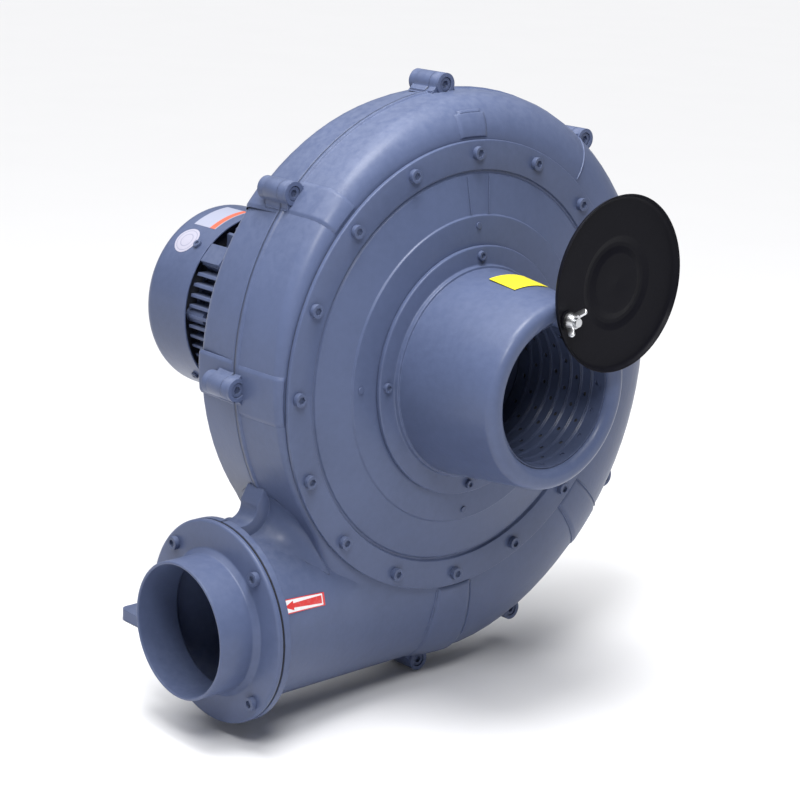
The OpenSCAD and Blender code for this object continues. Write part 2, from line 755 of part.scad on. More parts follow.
module outlet_bolts() color("silver") along_outlet(neck_end_x + outlet_gasket_t + loose_t) flange_corners()
  socket_screw(outlet_bolt_r, casing_head_r, casing_head_h - 1, loose_t + outlet_gasket_t + flange_t - 1);

// Impeller

// Depth of the passage wall under the shroud at radius r
function passage_y(r) = back_y - wheel_tip_w - (wheel_r - r) * (back_y - wheel_tip_w - eye_back_y) / (
  wheel_r - eye_r);

module impeller_backplate() color("silver") difference() {
  along_y(back_y) tube(wheel_r, hub_r + fit_gap, back_t);
  hub_rivet_places() along_y(back_y - over) cylinder(r = rivet_hub_r + fit_gap, h = back_t + 2 * over,
    $fn = fn_small);
}
module hub_rivet_places() for (k = [0:5]) at_polar(60 * k + 30, hub_rivet_circle_r) children();

module impeller_shroud() color("silver") turned([
  [eye_r, eye_front_y], [eye_r + shroud_t, eye_front_y], [eye_r + shroud_t, eye_back_y - shroud_t * 0.6],
  [wheel_r, passage_y(wheel_r) - shroud_t], [wheel_r, passage_y(wheel_r)], [eye_r, passage_y(eye_r)]]);

// Backward-curved blades are arcs of one circle, set by their angles at the
// inner and outer edges
blade_arc_r = (pow(blade_tip_r, 2) - pow(blade_in_r, 2)) / (2 * (blade_tip_r * cos(
  blade_out_angle) - blade_in_r * cos(blade_in_angle)));
blade_arc_off = sqrt(pow(blade_in_r, 2) + pow(blade_arc_r, 2) - 2 * blade_in_r * blade_arc_r * cos(
  blade_in_angle));

module blade_outline() intersection() {
  translate([blade_arc_off, 0]) difference() {
    circle(r = blade_arc_r, $fn = fn_big);
    circle(r = blade_arc_r - blade_t, $fn = fn_big);
  }
  difference() {
    circle(r = blade_tip_r, $fn = fn_big);
    circle(r = blade_in_r, $fn = fn_big);
  }
  translate([-wheel_r, 0]) square([2 * wheel_r, wheel_r]);
}

module impeller_blades() color("silver") intersection() {
  for (k = [0:blades_n - 1]) along_y(eye_back_y) rotate([0, 0, 360 * k / blades_n])
    linear_extrude(back_y - weld_gap - eye_back_y) blade_outline();
  turned([[blade_in_r - 5, passage_y(blade_in_r - 5) + weld_gap], [wheel_r, passage_y(wheel_r) + weld_gap],
    [wheel_r, back_y], [blade_in_r - 5, back_y]]);
}

module impeller_hub() color("dimgray") difference() {
  turned([[shaft_r + fit_gap, hub_front_y], [hub_r - 2, hub_front_y], [hub_r, hub_front_y + 2],
    [hub_r, back_y + back_t], [hub_flange_r, back_y + back_t], [hub_flange_r, back_y + back_t
    + hub_flange_t],
    [hub_r, back_y + back_t + hub_flange_t], [hub_r, hub_back_y], [shaft_r + fit_gap, hub_back_y]]);
  hub_rivet_places() along_y(back_y) cylinder(r = rivet_hub_r + fit_gap, h = 12, $fn = fn_small);
  translate([-key_w / 2 - fit_gap, hub_front_y - over, 0])
    cube([key_w + 2 * fit_gap, hub_back_y - hub_front_y + 2 * over, key_top + fit_gap]);
}

module impeller_rivets() color("silver") hub_rivet_places() along_y(back_y) {
  cylinder(r = rivet_hub_r, h = back_t + hub_flange_t, $fn = fn_small);
  translate([0, 0, -1.5]) cylinder(r = rivet_hub_r * 1.6, h = 1.5, $fn = fn_small);
  translate([0, 0, back_t + hub_flange_t]) cylinder(r = rivet_hub_r * 1.6, h = 1.5, $fn = fn_small);
}

module impeller_key() color("gray")
  translate([-key_w / 2, key_front_y, key_top - key_h]) cube([key_w, key_len, key_h]);

module impeller_bolt() color("dimgray") {
  along_front(-hub_front_y) tube(hub_washer_r, hub_bolt_r + fit_gap, hub_washer_t, fn_mid);
  along_front(-hub_front_y + hub_washer_t + fit_gap) hex_bolt(hub_bolt_r, hub_bolt_len);
}

// Motor

module motor_shaft() color("silver") difference() {
  turned([[0, shaft_front_y], [shaft_r - 1, shaft_front_y], [shaft_r, shaft_front_y + 1], [shaft_r,
    front_bearing_y - 4],
    [bearing_bore_r - fit_gap, front_bearing_y - 4], [bearing_bore_r - fit_gap, front_bearing_y
    + bearing_w],
    [core_shaft_r, front_bearing_y + bearing_w], [core_shaft_r, rear_bearing_y],
    [bearing_bore_r - fit_gap, rear_bearing_y], [bearing_bore_r - fit_gap, rear_bearing_y + bearing_w + 3],
    [fan_shaft_r, rear_bearing_y + bearing_w + 3], [fan_shaft_r, clip_y], [fan_shaft_r - clip_deep, clip_y],
    [fan_shaft_r - clip_deep, clip_y + clip_t], [fan_shaft_r, clip_y + clip_t], [fan_shaft_r,
    shaft_back_y - 1],
    [fan_shaft_r - 1, shaft_back_y], [0, shaft_back_y]], fn_mid);
  translate([-key_w / 2 - fit_gap, key_front_y - fit_gap, key_top - key_h - fit_gap])
    cube([key_w + 2 * fit_gap, key_len + 2 * fit_gap, key_h]);
  along_y(shaft_front_y - over) cylinder(r = hub_bolt_r + thread_gap, h = hub_bolt_len, $fn = fn_small);
}

module bearing_outer(y) color("silver") rotate([-90, 0, 0]) rotate_extrude($fn = fn_mid) difference() {
  translate([race_out_r, y]) square([bearing_r - fit_gap - race_out_r, bearing_w]);
  translate([ball_circle_r, y + bearing_w / 2]) circle(r = ball_r + ball_gap, $fn = fn_small);
}
module bearing_inner(y) color("silver") rotate([-90, 0, 0]) rotate_extrude($fn = fn_mid) difference() {
  translate([bearing_bore_r, y]) square([race_in_r - bearing_bore_r, bearing_w]);
  translate([ball_circle_r, y + bearing_w / 2]) circle(r = ball_r + ball_gap, $fn = fn_small);
}
module bearing_balls(y) color("gainsboro") for (k = [0:balls_n - 1])
  at_polar(360 * k / balls_n, ball_circle_r) translate([0, y + bearing_w / 2, 0])
    sphere(r = ball_r, $fn = fn_small);

module front_bearing_outer() bearing_outer(front_bearing_y);
module front_bearing_inner() bearing_inner(front_bearing_y);
module front_bearing_balls() bearing_balls(front_bearing_y);
module rear_bearing_outer() bearing_outer(rear_bearing_y);
module rear_bearing_inner() bearing_inner(rear_bearing_y);
module rear_bearing_balls() bearing_balls(rear_bearing_y);

module shaft_seal() color("black") along_y(seal_y)
  tube(seal_r - fit_gap, shaft_r + seal_gap, seal_w, fn_mid);

module ear_places() for (k = [0:3]) at_polar(90 * k, ear_circle_r) children();

module drive_end_shield() color("slategray") difference() {
  union() {
    turned([[bore_clear_r, flange_y - motor_spigot_h], [motor_spigot_r, flange_y - motor_spigot_h],
      [motor_spigot_r, flange_y], [motor_flange_r, flange_y], [motor_flange_r, flange_y + flange_pad_t],
      [shield_neck_r, flange_y + flange_pad_t], [shield_neck_r, barrel_front_y - 12], [barrel_r + 2,
      barrel_front_y - 5],
      [barrel_r + 2, barrel_front_y], [core_r - fit_gap, barrel_front_y], [core_r - fit_gap,
      barrel_front_y + 4],
      [core_r - 7, barrel_front_y + 4], [core_r - 9, barrel_front_y - 14], [bearing_r + 8,
      barrel_front_y - 14],
      [bearing_r + 8, front_bearing_y + bearing_w], [bearing_r, front_bearing_y + bearing_w],
      [bearing_r, front_bearing_y], [bore_clear_r + 2, front_bearing_y], [bore_clear_r + 2, seal_y
      + seal_w],
      [seal_r, seal_y + seal_w], [seal_r, seal_y - 2], [bore_clear_r, seal_y - 2]]);
    ear_places() along_y(barrel_front_y - ear_t) cylinder(r = ear_r, h = ear_t, $fn = fn_mid);
  }
  motor_bolt_places() along_y(flange_y - over)
    cylinder(r = motor_bolt_r + bolt_gap, h = flange_pad_t + 2 * over, $fn = fn_small);
  ear_places() along_y(barrel_front_y - ear_t - over)
    cylinder(r = ear_bolt_r + bolt_gap, h = ear_t + 2 * over, $fn = fn_small);
}

module motor_flange_bolts() color("silver") motor_bolt_places() along_y(flange_y + flange_pad_t)
  hex_bolt(motor_bolt_r, flange_pad_t + 7);

// Straight fins stand out sideways on the flanks and upright above and below
module fins_outline() intersection() {
  circle(r = fin_r, $fn = fn_big);
  union() {
    for (k = [-fins_half:fins_half]) translate([-fin_r, k * fin_pitch - fin_t / 2])
      square([2 * fin_r, fin_t]);
    for (k = [-fins_half + 1:fins_half - 1]) translate([k * fin_pitch - fin_t / 2, -fin_r])
      square([fin_t, 2 * fin_r]);
  }
}

module motor_housing() color("slategray") difference() {
  union() {
    translate([0, barrel_back_y, 0]) rotate([90, 0, 0]) linear_extrude(barrel_back_y - barrel_front_y)
      union() {
      fins_outline();
      circle(r = barrel_r, $fn = fn_big);
    }
    ear_places() along_y(barrel_front_y) cylinder(r = ear_r, h = ear_len, $fn = fn_mid);
    ear_places() along_y(barrel_back_y - ear_len) cylinder(r = ear_r, h = ear_len, $fn = fn_mid);
    translate([-box_w / 2 + 6, box_front_y, core_r]) cube([box_w - 12, box_l, box_base_z - core_r]);
    rotate([0, -lift_angle, 0]) translate([core_r, cowl_front_y - 0.5 - lift_l, -lift_w / 2])
      cube([lift_r - core_r, lift_l, lift_w]);
    for (s = [-1, 1]) translate([s * pad_x, 0, 0]) {
      translate([-foot_pad_w / 2, pad_front_y - 12, pad_z])
        cube([foot_pad_w, pad_back_y - pad_front_y + 24, foot_pad_t]);
      translate([s > 0 ? -foot_pad_w / 2 - 2 : foot_pad_w / 2 - 6, pad_front_y - 12, pad_z])
        cube([8, pad_back_y - pad_front_y + 24, -pad_z - foot_web_top]);
    }
  }
  along_y(barrel_front_y - over) cylinder(r = core_r, h = barrel_back_y - barrel_front_y + 2 * over,
    $fn = fn_big);
  ear_places() along_y(barrel_front_y - over)
    cylinder(r = ear_bolt_r + thread_gap, h = ear_len - 4 + over, $fn = fn_small);
  ear_places() along_y(barrel_back_y - ear_len + 4)
    cylinder(r = ear_bolt_r + thread_gap, h = ear_len, $fn = fn_small);
  pad_places() translate([0, 0, pad_z - over])
    cylinder(r = pad_bolt_r + bolt_gap, h = foot_pad_t + 2 * over, $fn = fn_small);
}
module pad_places() for (sx = [-1, 1], y = [pad_front_y, pad_back_y]) translate([sx * pad_x, y, 0])
  children();

module stator_core() color("dimgray") along_y(core_front_y)
  tube(core_r - fit_gap, air_r + air_gap, core_back_y - core_front_y);

module stator_windings() color("peru") for (y = [core_front_y - winding_out, core_back_y])
  along_y(y) tube(core_r - 8, air_r + 6, winding_out);

module rotor_core() color("silver") along_y(core_front_y)
  tube(air_r, core_shaft_r + fit_gap, core_back_y - core_front_y);

module rear_end_shield() color("slategray") difference() {
  union() {
    turned([[bearing_r, rear_bearing_y], [bearing_r, rear_bearing_y + bearing_w + washer_room],
      [bore_clear_r, rear_bearing_y + bearing_w + washer_room], [bore_clear_r, shield_back_y],
      [bearing_r + 14, shield_back_y], [barrel_r + 2, barrel_back_y + ear_t], [barrel_r + 2, barrel_back_y],
      [core_r - fit_gap, barrel_back_y], [core_r - fit_gap, barrel_back_y - 4], [core_r - 7,
      barrel_back_y - 4],
      [core_r - 7, barrel_back_y + 1], [bearing_r + 8, barrel_back_y + 3], [bearing_r + 8,
      rear_bearing_y]]);
    ear_places() along_y(barrel_back_y) cylinder(r = ear_r, h = ear_t, $fn = fn_mid);
    for (k = [0:3]) rotate([0, -45 - 90 * k, 0]) translate([barrel_r - 2, barrel_back_y, -arm_w / 2])
      cube([arm_reach - barrel_r + 2, ear_t - 0.5, arm_w]);
    for (k = [0:3]) rotate([0, -45 - 90 * k, 0]) translate([arm_reach - arm_t, barrel_back_y, -arm_w / 2])
      cube([arm_t, cowl_screw_y + 8 - barrel_back_y, arm_w]);
  }
  ear_places() along_y(barrel_back_y - over)
    cylinder(r = ear_bolt_r + bolt_gap, h = ear_t + 2 * over, $fn = fn_small);
  cowl_screw_places() translate([0, 0, -14]) cylinder(r = cowl_bolt_r + thread_gap, h = 16, $fn = fn_small);
}
// Local z points outwards, with its zero on the outside of the cowl
module cowl_screw_places() for (k = [0:3]) rotate([0, -45 - 90 * k, 0])
  translate([cowl_r, cowl_screw_y, 0]) rotate([0, 90, 0]) children();

module shield_screws() color("silver") {
  ear_places() along_y(barrel_back_y + ear_t) hex_bolt(ear_bolt_r, ear_t + ear_len - 6);
  ear_places() along_front(-barrel_front_y + ear_t) hex_bolt(ear_bolt_r, ear_t + ear_len - 6);
}

module preload_washer() color("silver") along_y(rear_bearing_y + bearing_w)
  tube(bearing_r - 0.5, bearing_r - 5, washer_room - 0.1, fn_mid);

module cooling_fan() color("gray") difference() {
  union() {
    along_y(fan_y - 8) cylinder(r = fan_hub_r, h = fan_w + 6, $fn = fn_mid);
    along_y(fan_y - 2) cylinder(r = fan_r - 8, h = 2, $fn = fn_big);
    for (k = [0:fan_blades_n - 1]) rotate([0, 360 * k / fan_blades_n, 0])
      translate([fan_hub_r - 2, fan_y - 1, -1]) cube([fan_r - fan_hub_r + 2, fan_w - 6, 2]);
  }
  along_y(fan_y - 9) cylinder(r = fan_shaft_r + fit_gap, h = fan_w + 10, $fn = fn_mid);
}

module fan_clip() color("silver") difference() {
  along_y(clip_y + 0.02) tube(fan_shaft_r + 3, fan_shaft_r - clip_deep + fit_gap, clip_t - 0.04, fn_mid);
  translate([-2, clip_y - over, 0]) cube([4, clip_t + 2 * over, 20]);
}

// A drawn cowl with a round corner and a grille of ring slots between spokes
module fan_cowl() color("lightslategray") difference() {
  turned(concat([[cowl_r - cowl_t, cowl_front_y], [cowl_r, cowl_front_y]],
    [for (k = [0:lip_steps]) let(q = 90 * k / lip_steps)
      [cowl_r - cowl_round + cowl_round * cos(q), motor_back - cowl_round + cowl_round * sin(q)]],
    [[0, motor_back], [0, motor_back - cowl_t]],
    [for (k = [lip_steps:-1:0]) let(q = 90 * k / lip_steps)
      [cowl_r - cowl_round + (cowl_round - cowl_t) * cos(q), motor_back - cowl_round + (
      cowl_round - cowl_t) * sin(q)]]));
  along_y(motor_back - cowl_t - over) linear_extrude(cowl_t + 2 * over) difference() {
    for (r = [grille_in_r:grille_pitch:cowl_r - cowl_round - grille_slot]) difference() {
      circle(r = r + grille_slot, $fn = fn_mid);
      circle(r = r, $fn = fn_mid);
    }
    for (k = [0:2]) rotate(60 * k + 30) square([2 * cowl_r, grille_spoke], center = true);
  }
  cowl_screw_places() translate([0, 0, -cowl_t - over])
    cylinder(r = cowl_bolt_r + bolt_gap, h = cowl_t + 2 * over, $fn = fn_small);
}

module cowl_screws() color("silver") cowl_screw_places()
  socket_screw(cowl_bolt_r, cowl_bolt_r * 1.7, 3, cowl_t + arm_t - 1);

module terminal_box() color("slategray") difference() {
  translate([-box_w / 2, box_front_y, box_base_z]) cube([box_w, box_l, box_h]);
  translate([-box_w / 2 + box_wall, box_front_y + box_wall, box_base_z + box_wall])
    cube([box_w - 2 * box_wall, box_l - 2 * box_wall, box_h]);
  translate([box_w / 2 - box_wall - over, box_front_y + box_l / 2, box_base_z + box_h / 2])
    rotate([0, 90, 0])
    cylinder(r = gland_r - 1.5, h = box_wall + 2 * over, $fn = fn_mid);
}

module terminal_block() color("black") {
  translate([-30, box_front_y + box_l / 2 - 12, box_base_z + box_wall]) cube([60, 24, 10]);
  for (x = [-20, 0, 20], y = [-6, 6]) translate([x, box_front_y + box_l / 2 + y, box_base_z + box_wall
    + 10])
    cylinder(r = 2, h = 9, $fn = fn_small);
}

module lid_corners() for (sx = [-1, 1], sy = [-1, 1])
  translate([sx * (box_w / 2 - lid_screw_in), box_front_y + box_l / 2 + sy * (box_l / 2 - lid_screw_in),
    0]) children();

module terminal_lid() color("slategray") difference() {
  translate([-box_w / 2 - 1, box_front_y - 1, box_base_z + box_h]) cube([box_w + 2, box_l + 2, lid_t]);
  lid_corners() translate([0, 0, box_base_z + box_h - over])
    cylinder(r = 2.3, h = lid_t + 2 * over, $fn = fn_small);
}

module terminal_lid_screws() color("silver") lid_corners() translate([0, 0, box_base_z + box_h + lid_t])
  socket_screw(2, 3.8, 2.6, lid_t + lid_screw_deep);

module cable_gland() color("black") translate([box_w / 2, box_front_y + box_l / 2, box_base_z
  + box_h / 2]) rotate([0, 90, 0])
  difference() {
    union() {
      translate([0, 0, -box_wall - 3]) cylinder(r = gland_r - 1.6, h = box_wall + 4, $fn = fn_mid);
      cylinder(r = gland_r * 1.2, h = 6, $fn = 6);
      translate([0, 0, 6]) cylinder(r = gland_r, h = 9, $fn = fn_mid);
      translate([0, 0, 15]) cylinder(r1 = gland_r, r2 = gland_r - 2, h = 4, $fn = fn_mid);
    }
    translate([0, 0, -box_wall - 4]) cylinder(r = gland_bore_r, h = 30, $fn = fn_mid);
  }

// Stand: a pedestal between the motor feet and a flat frame on the floor

module rounded_rect(w, d, r) {
  translate([r, 0]) square([w - 2 * r, d]);
  translate([0, r]) square([w, d - 2 * r]);
  for (x = [r, w - r], y = [r, d - r]) translate([x, y]) circle(r = r, $fn = fn_small);
}

module motor_stand() color("slategray") difference() {
  union() {
    translate([-foot_half_x, foot_front_y, -shaft_height]) linear_extrude(foot_t) difference() {
      rounded_rect(2 * foot_half_x, foot_back_y - foot_front_y, foot_round);
      translate([foot_w, foot_w]) square([2 * foot_half_x - 2 * foot_w,
        foot_back_y - foot_front_y - 2 * foot_w]);
    }
    translate([-cradle_half_x, pad_front_y - 14, pad_z - cradle_t])
      cube([2 * cradle_half_x, pad_back_y - pad_front_y + 28, cradle_t]);
    for (s = [-1, 1]) translate([s > 0 ? leg_x + leg_t : -leg_x, 0, 0]) rotate([0, -90, 0])
      linear_extrude(leg_t) polygon([[cradle_bottom, pad_front_y - 14], [cradle_bottom, pad_back_y + 14],
        [-150, 172], [-190, 152], [-240, 152], [-285, 205], [foot_top, foot_back_y - 14], [foot_top,
        foot_front_y + 14]]);
    translate([-leg_x, pad_front_y - 14, foot_top]) cube([2 * leg_x, leg_t, cradle_bottom - foot_top]);
  }
  foot_hole_places() translate([0, 0, -shaft_height - over])
    cylinder(r = foot_hole_r, h = foot_t + 2 * over, $fn = fn_small);
  pad_places() translate([0, 0, cradle_bottom - over])
    cylinder(r = pad_bolt_r + bolt_gap, h = cradle_t + 2 * over, $fn = fn_small);
}
module foot_hole_places() for (sx = [-1, 1], sy = [-1, 1])
  translate([sx * foot_bolts_x / 2, foot_mid_y + sy * foot_bolts_y / 2, 0]) children();

module stand_bolts() color("silver") pad_places() {
  translate([0, 0, pad_z + foot_pad_t]) hex_bolt(pad_bolt_r, foot_pad_t + cradle_t + 9);
  translate([0, 0, cradle_bottom - 6.5]) difference() {
    cylinder(r = 7.5, h = 6.5, $fn = 6);
    translate([0, 0, -over]) cylinder(r = pad_bolt_r + fit_gap, h = 9, $fn = fn_small);
  }
}

stand_up() front_casing();
stand_up() rear_casing();
stand_up() casing_screws();
stand_up() cover_plate();
stand_up() cover_gasket();
stand_up() cover_screws();
stand_up() inlet_duct();
stand_up() inlet_screws();
stand_up() perforated_liner();
stand_up() silencer_foam();
stand_up() bellmouth();
stand_up() bellmouth_rivets();
stand_up() damper_disc();
stand_up() damper_stud();
stand_up() damper_washers();
stand_up() wing_nut();
stand_up() outlet_spigot();
stand_up() outlet_gasket();
stand_up() outlet_bolts();
stand_up() impeller_backplate();
stand_up() impeller_shroud();
stand_up() impeller_blades();
stand_up() impeller_hub();
stand_up() impeller_rivets();
stand_up() impeller_key();
stand_up() impeller_bolt();
stand_up() motor_shaft();
stand_up() front_bearing_inner();
stand_up() front_bearing_outer();
stand_up() front_bearing_balls();
stand_up() rear_bearing_inner();
stand_up() rear_bearing_outer();
stand_up() rear_bearing_balls();
stand_up() shaft_seal();
stand_up() drive_end_shield();
stand_up() motor_flange_bolts();
stand_up() motor_housing();
stand_up() stator_core();
stand_up() stator_windings();
stand_up() rotor_core();
stand_up() rear_end_shield();
stand_up() shield_screws();
stand_up() preload_washer();
stand_up() cooling_fan();
stand_up() fan_clip();
stand_up() fan_cowl();
stand_up() cowl_screws();
stand_up() terminal_box();
stand_up() terminal_block();
stand_up() terminal_lid();
stand_up() terminal_lid_screws();
stand_up() cable_gland();
stand_up() motor_stand();
stand_up() stand_bolts();
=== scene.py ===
import json
import math

import bpy
import numpy as np
from bpy.props import FloatProperty, FloatVectorProperty, IntProperty, PointerProperty
from mathutils import Matrix, Vector


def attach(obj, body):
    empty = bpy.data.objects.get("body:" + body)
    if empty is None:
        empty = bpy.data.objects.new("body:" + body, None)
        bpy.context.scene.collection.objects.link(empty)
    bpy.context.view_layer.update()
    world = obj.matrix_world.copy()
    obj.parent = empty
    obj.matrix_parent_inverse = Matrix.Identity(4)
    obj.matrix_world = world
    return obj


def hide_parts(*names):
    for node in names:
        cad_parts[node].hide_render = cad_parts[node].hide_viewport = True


bl_info = {
    "name": "Turbo blower dressing",
    "version": (1, 0, 0),
    "blender": (4, 5, 0),
    "location": "View3D > Sidebar > Blower",
    "description": "Dresses the packed turbo blower with its finishes and fine forms",
    "category": "Object",
}

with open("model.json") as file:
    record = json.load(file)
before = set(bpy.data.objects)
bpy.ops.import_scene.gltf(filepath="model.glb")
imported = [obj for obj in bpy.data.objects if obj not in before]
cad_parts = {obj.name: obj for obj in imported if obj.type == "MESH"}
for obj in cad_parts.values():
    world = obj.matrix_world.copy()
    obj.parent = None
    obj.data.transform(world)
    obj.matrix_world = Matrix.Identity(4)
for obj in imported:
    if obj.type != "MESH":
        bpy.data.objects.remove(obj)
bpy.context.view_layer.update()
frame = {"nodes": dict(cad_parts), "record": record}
NODES = frame["nodes"]

# The shaft meets the casing split here, in metres, over the middle of the foot holes
FAN_CENTRE = np.array([0.0, -0.176, 0.330])
MM = 0.001


def placed(points):
    """Points in millimetres about the shaft and the split, as metres in the shared frame."""
    return np.asarray(points, float) * MM + FAN_CENTRE


# Sizes and colours -------------------------------------------------------


class BlowerSizes(bpy.types.PropertyGroup):
    fillet: FloatProperty(name="Boss fillet", description="Radius where a boss runs into the casing wall",
                          default=5 * MM, unit="LENGTH")
    ridge: FloatProperty(name="Raised fields", description="Height of the raised fields beside the bosses",
                         default=1.3 * MM, unit="LENGTH")
    arrow_length: FloatProperty(name="Arrow label", description="Length of the arrow label along the neck",
                                default=57 * MM, unit="LENGTH")
    film: FloatProperty(name="Film thickness", description="Thickness of the labels", default=0.25 * MM,
                        unit="LENGTH")
    turns: IntProperty(name="Steps round", description="Steps round a spun piece", default=192, min=48, max=512)
    lens: FloatProperty(name="Lens", description="Focal length on a 36 mm sensor", default=94.24, subtype="NONE")


class BlowerColours(bpy.types.PropertyGroup):
    paint: FloatVectorProperty(name="Casing paint", description="Blue-grey of the castings", subtype="COLOR",
                               size=3, default=(0.078, 0.101, 0.186))
    cover: FloatVectorProperty(name="Cover paint", description="Blue-grey of the spun sheet", subtype="COLOR",
                               size=3, default=(0.075, 0.097, 0.178))
    disc: FloatVectorProperty(name="Disc black", description="Black of the damper disc", subtype="COLOR",
                              size=3, default=(0.006, 0.006, 0.009))
    zinc: FloatVectorProperty(name="Zinc", description="Plated fasteners", subtype="COLOR",
                              size=3, default=(0.62, 0.63, 0.65))
    red: FloatVectorProperty(name="Label red", description="Red of the arrow label", subtype="COLOR",
                             size=3, default=(0.62, 0.030, 0.030))
    yellow: FloatVectorProperty(name="Sticker yellow", description="Yellow of the sticker on the duct",
                                subtype="COLOR", size=3, default=(0.80, 0.68, 0.02))


# Shader maths ------------------------------------------------------------


class Wire:
    """A number or colour that runs along one socket of a material."""

    def __init__(self, finish, socket):
        self.finish, self.socket = finish, socket

    def _math(self, operation, *values):
        return self.finish.node("ShaderNodeMath", {"operation": operation}, *values)

    def __add__(self, other):
        return self._math("ADD", self, other)

    __radd__ = __add__

    def __sub__(self, other):
        return self._math("SUBTRACT", self, other)

    def __rsub__(self, other):
        return self._math("SUBTRACT", other, self)

    def __mul__(self, other):
        return self._math("MULTIPLY", self, other)

    __rmul__ = __mul__

    def __abs__(self):
        return self._math("ABSOLUTE", self)

    def above(self, level):
        return self._math("GREATER_THAN", self, level)

    def below(self, level):
        return self._math("LESS_THAN", self, level)

    def least(self, other):
        return self._math("MINIMUM", self, other)

    def most(self, other):
        return self._math("MAXIMUM", self, other)

    def ramp(self, low, high):
        """0 at low, 1 at high, straight between."""
        return self.finish.node("ShaderNodeMapRange", {"clamp": True}, self, low, high, 0.0, 1.0)


class Finish:
    """One material, with a Principled shader and short ways to feed it."""

    def __init__(self, name, colour, roughness, metallic=0.0, **sockets):
        self.material = bpy.data.materials.new(name)
        self.material.use_nodes = True
        self.tree = self.material.node_tree
        self.shader = next(n for n in self.tree.nodes if n.type == "BSDF_PRINCIPLED")
        self.shader.inputs["Base Color"].default_value = (*colour, 1.0)
        self.shader.inputs["Roughness"].default_value = roughness
        self.shader.inputs["Metallic"].default_value = metallic
        for key, value in sockets.items():
            self.shader.inputs[key.replace("_", " ")].default_value = value

    def node(self, kind, settings, *values, out=0, **named):
        """A node of that kind: its settings first, then the values or links of its sockets."""
        made = self.tree.nodes.new(kind)
        for key, value in settings.items():
            setattr(made, key, value)
        pairs = list(zip(made.inputs, values))
        pairs += [(made.inputs[key.replace("_", " ")], value) for key, value in named.items()]
        for socket, value in pairs:
            if isinstance(value, Wire):
                self.tree.links.new(value.socket, socket)
            elif value is not None:
                socket.default_value = value
        return Wire(self, made.outputs[out])

    def place(self, size=(1.0, 1.0, 1.0)):
        """Object coordinates in metres, stretched by a size along each axis."""
        return self.node("ShaderNodeMapping", {}, self.node("ShaderNodeTexCoord", {}, out="Object"), Scale=size)

    def parts(self, vector):
        """The three numbers of a vector."""
        made = self.node("ShaderNodeSeparateXYZ", {}, vector)
        return [Wire(self, made.socket.node.outputs[i]) for i in range(3)]

    def noise(self, vector, scale, detail=3.0, roughness=0.55):
        return self.node("ShaderNodeTexNoise", {}, Vector=vector, Scale=scale, Detail=detail,
                         Roughness=roughness)

    def blend(self, factor, first, second):
        """first where factor is 0, second where it is 1; colours as tuples or wires."""
        made = self.tree.nodes.new("ShaderNodeMix")
        made.data_type = "RGBA"
        ends = [s for s in made.inputs if s.type == "RGBA"]
        for socket, value in [(made.inputs[0], factor), (ends[0], first), (ends[1], second)]:
            if isinstance(value, Wire):
                self.tree.links.new(value.socket, socket)
            else:
                socket.default_value = value if isinstance(value, (int, float)) else (*value[:3], 1.0)
        return Wire(self, next(s for s in made.outputs if s.type == "RGBA"))

    def feed(self, **wires):
        """Links each wire to the shader's socket of that name."""
        for key, wire in wires.items():
            self.tree.links.new(wire.socket, self.shader.inputs[key.replace("_", " ")])
        return self

    def bump(self, height, distance, strength=1.0, under=None):
        """A relief of that depth in metres, on top of another normal."""
        wire = self.node("ShaderNodeBump", {}, Strength=strength, Distance=distance, Height=height)
        if under is not None:
            self.tree.links.new(under.socket, wire.socket.node.inputs["Normal"])
        return wire


# Scales of the paint's patterns in waves per metre, the width of its bevelled edges in metres, which carry a
# painted highlight, and settled dust
CLOUD, WAVE, FINE, SPECK = 9.0, 34.0, 140.0, 900.0
EDGE_BEVEL = 1.1 * MM
DUST = (0.34, 0.36, 0.40)


def tone(colour, factor):
    """The colour, lighter or darker by a factor."""
    return tuple(min(1.0, c * factor) for c in colour[:3])


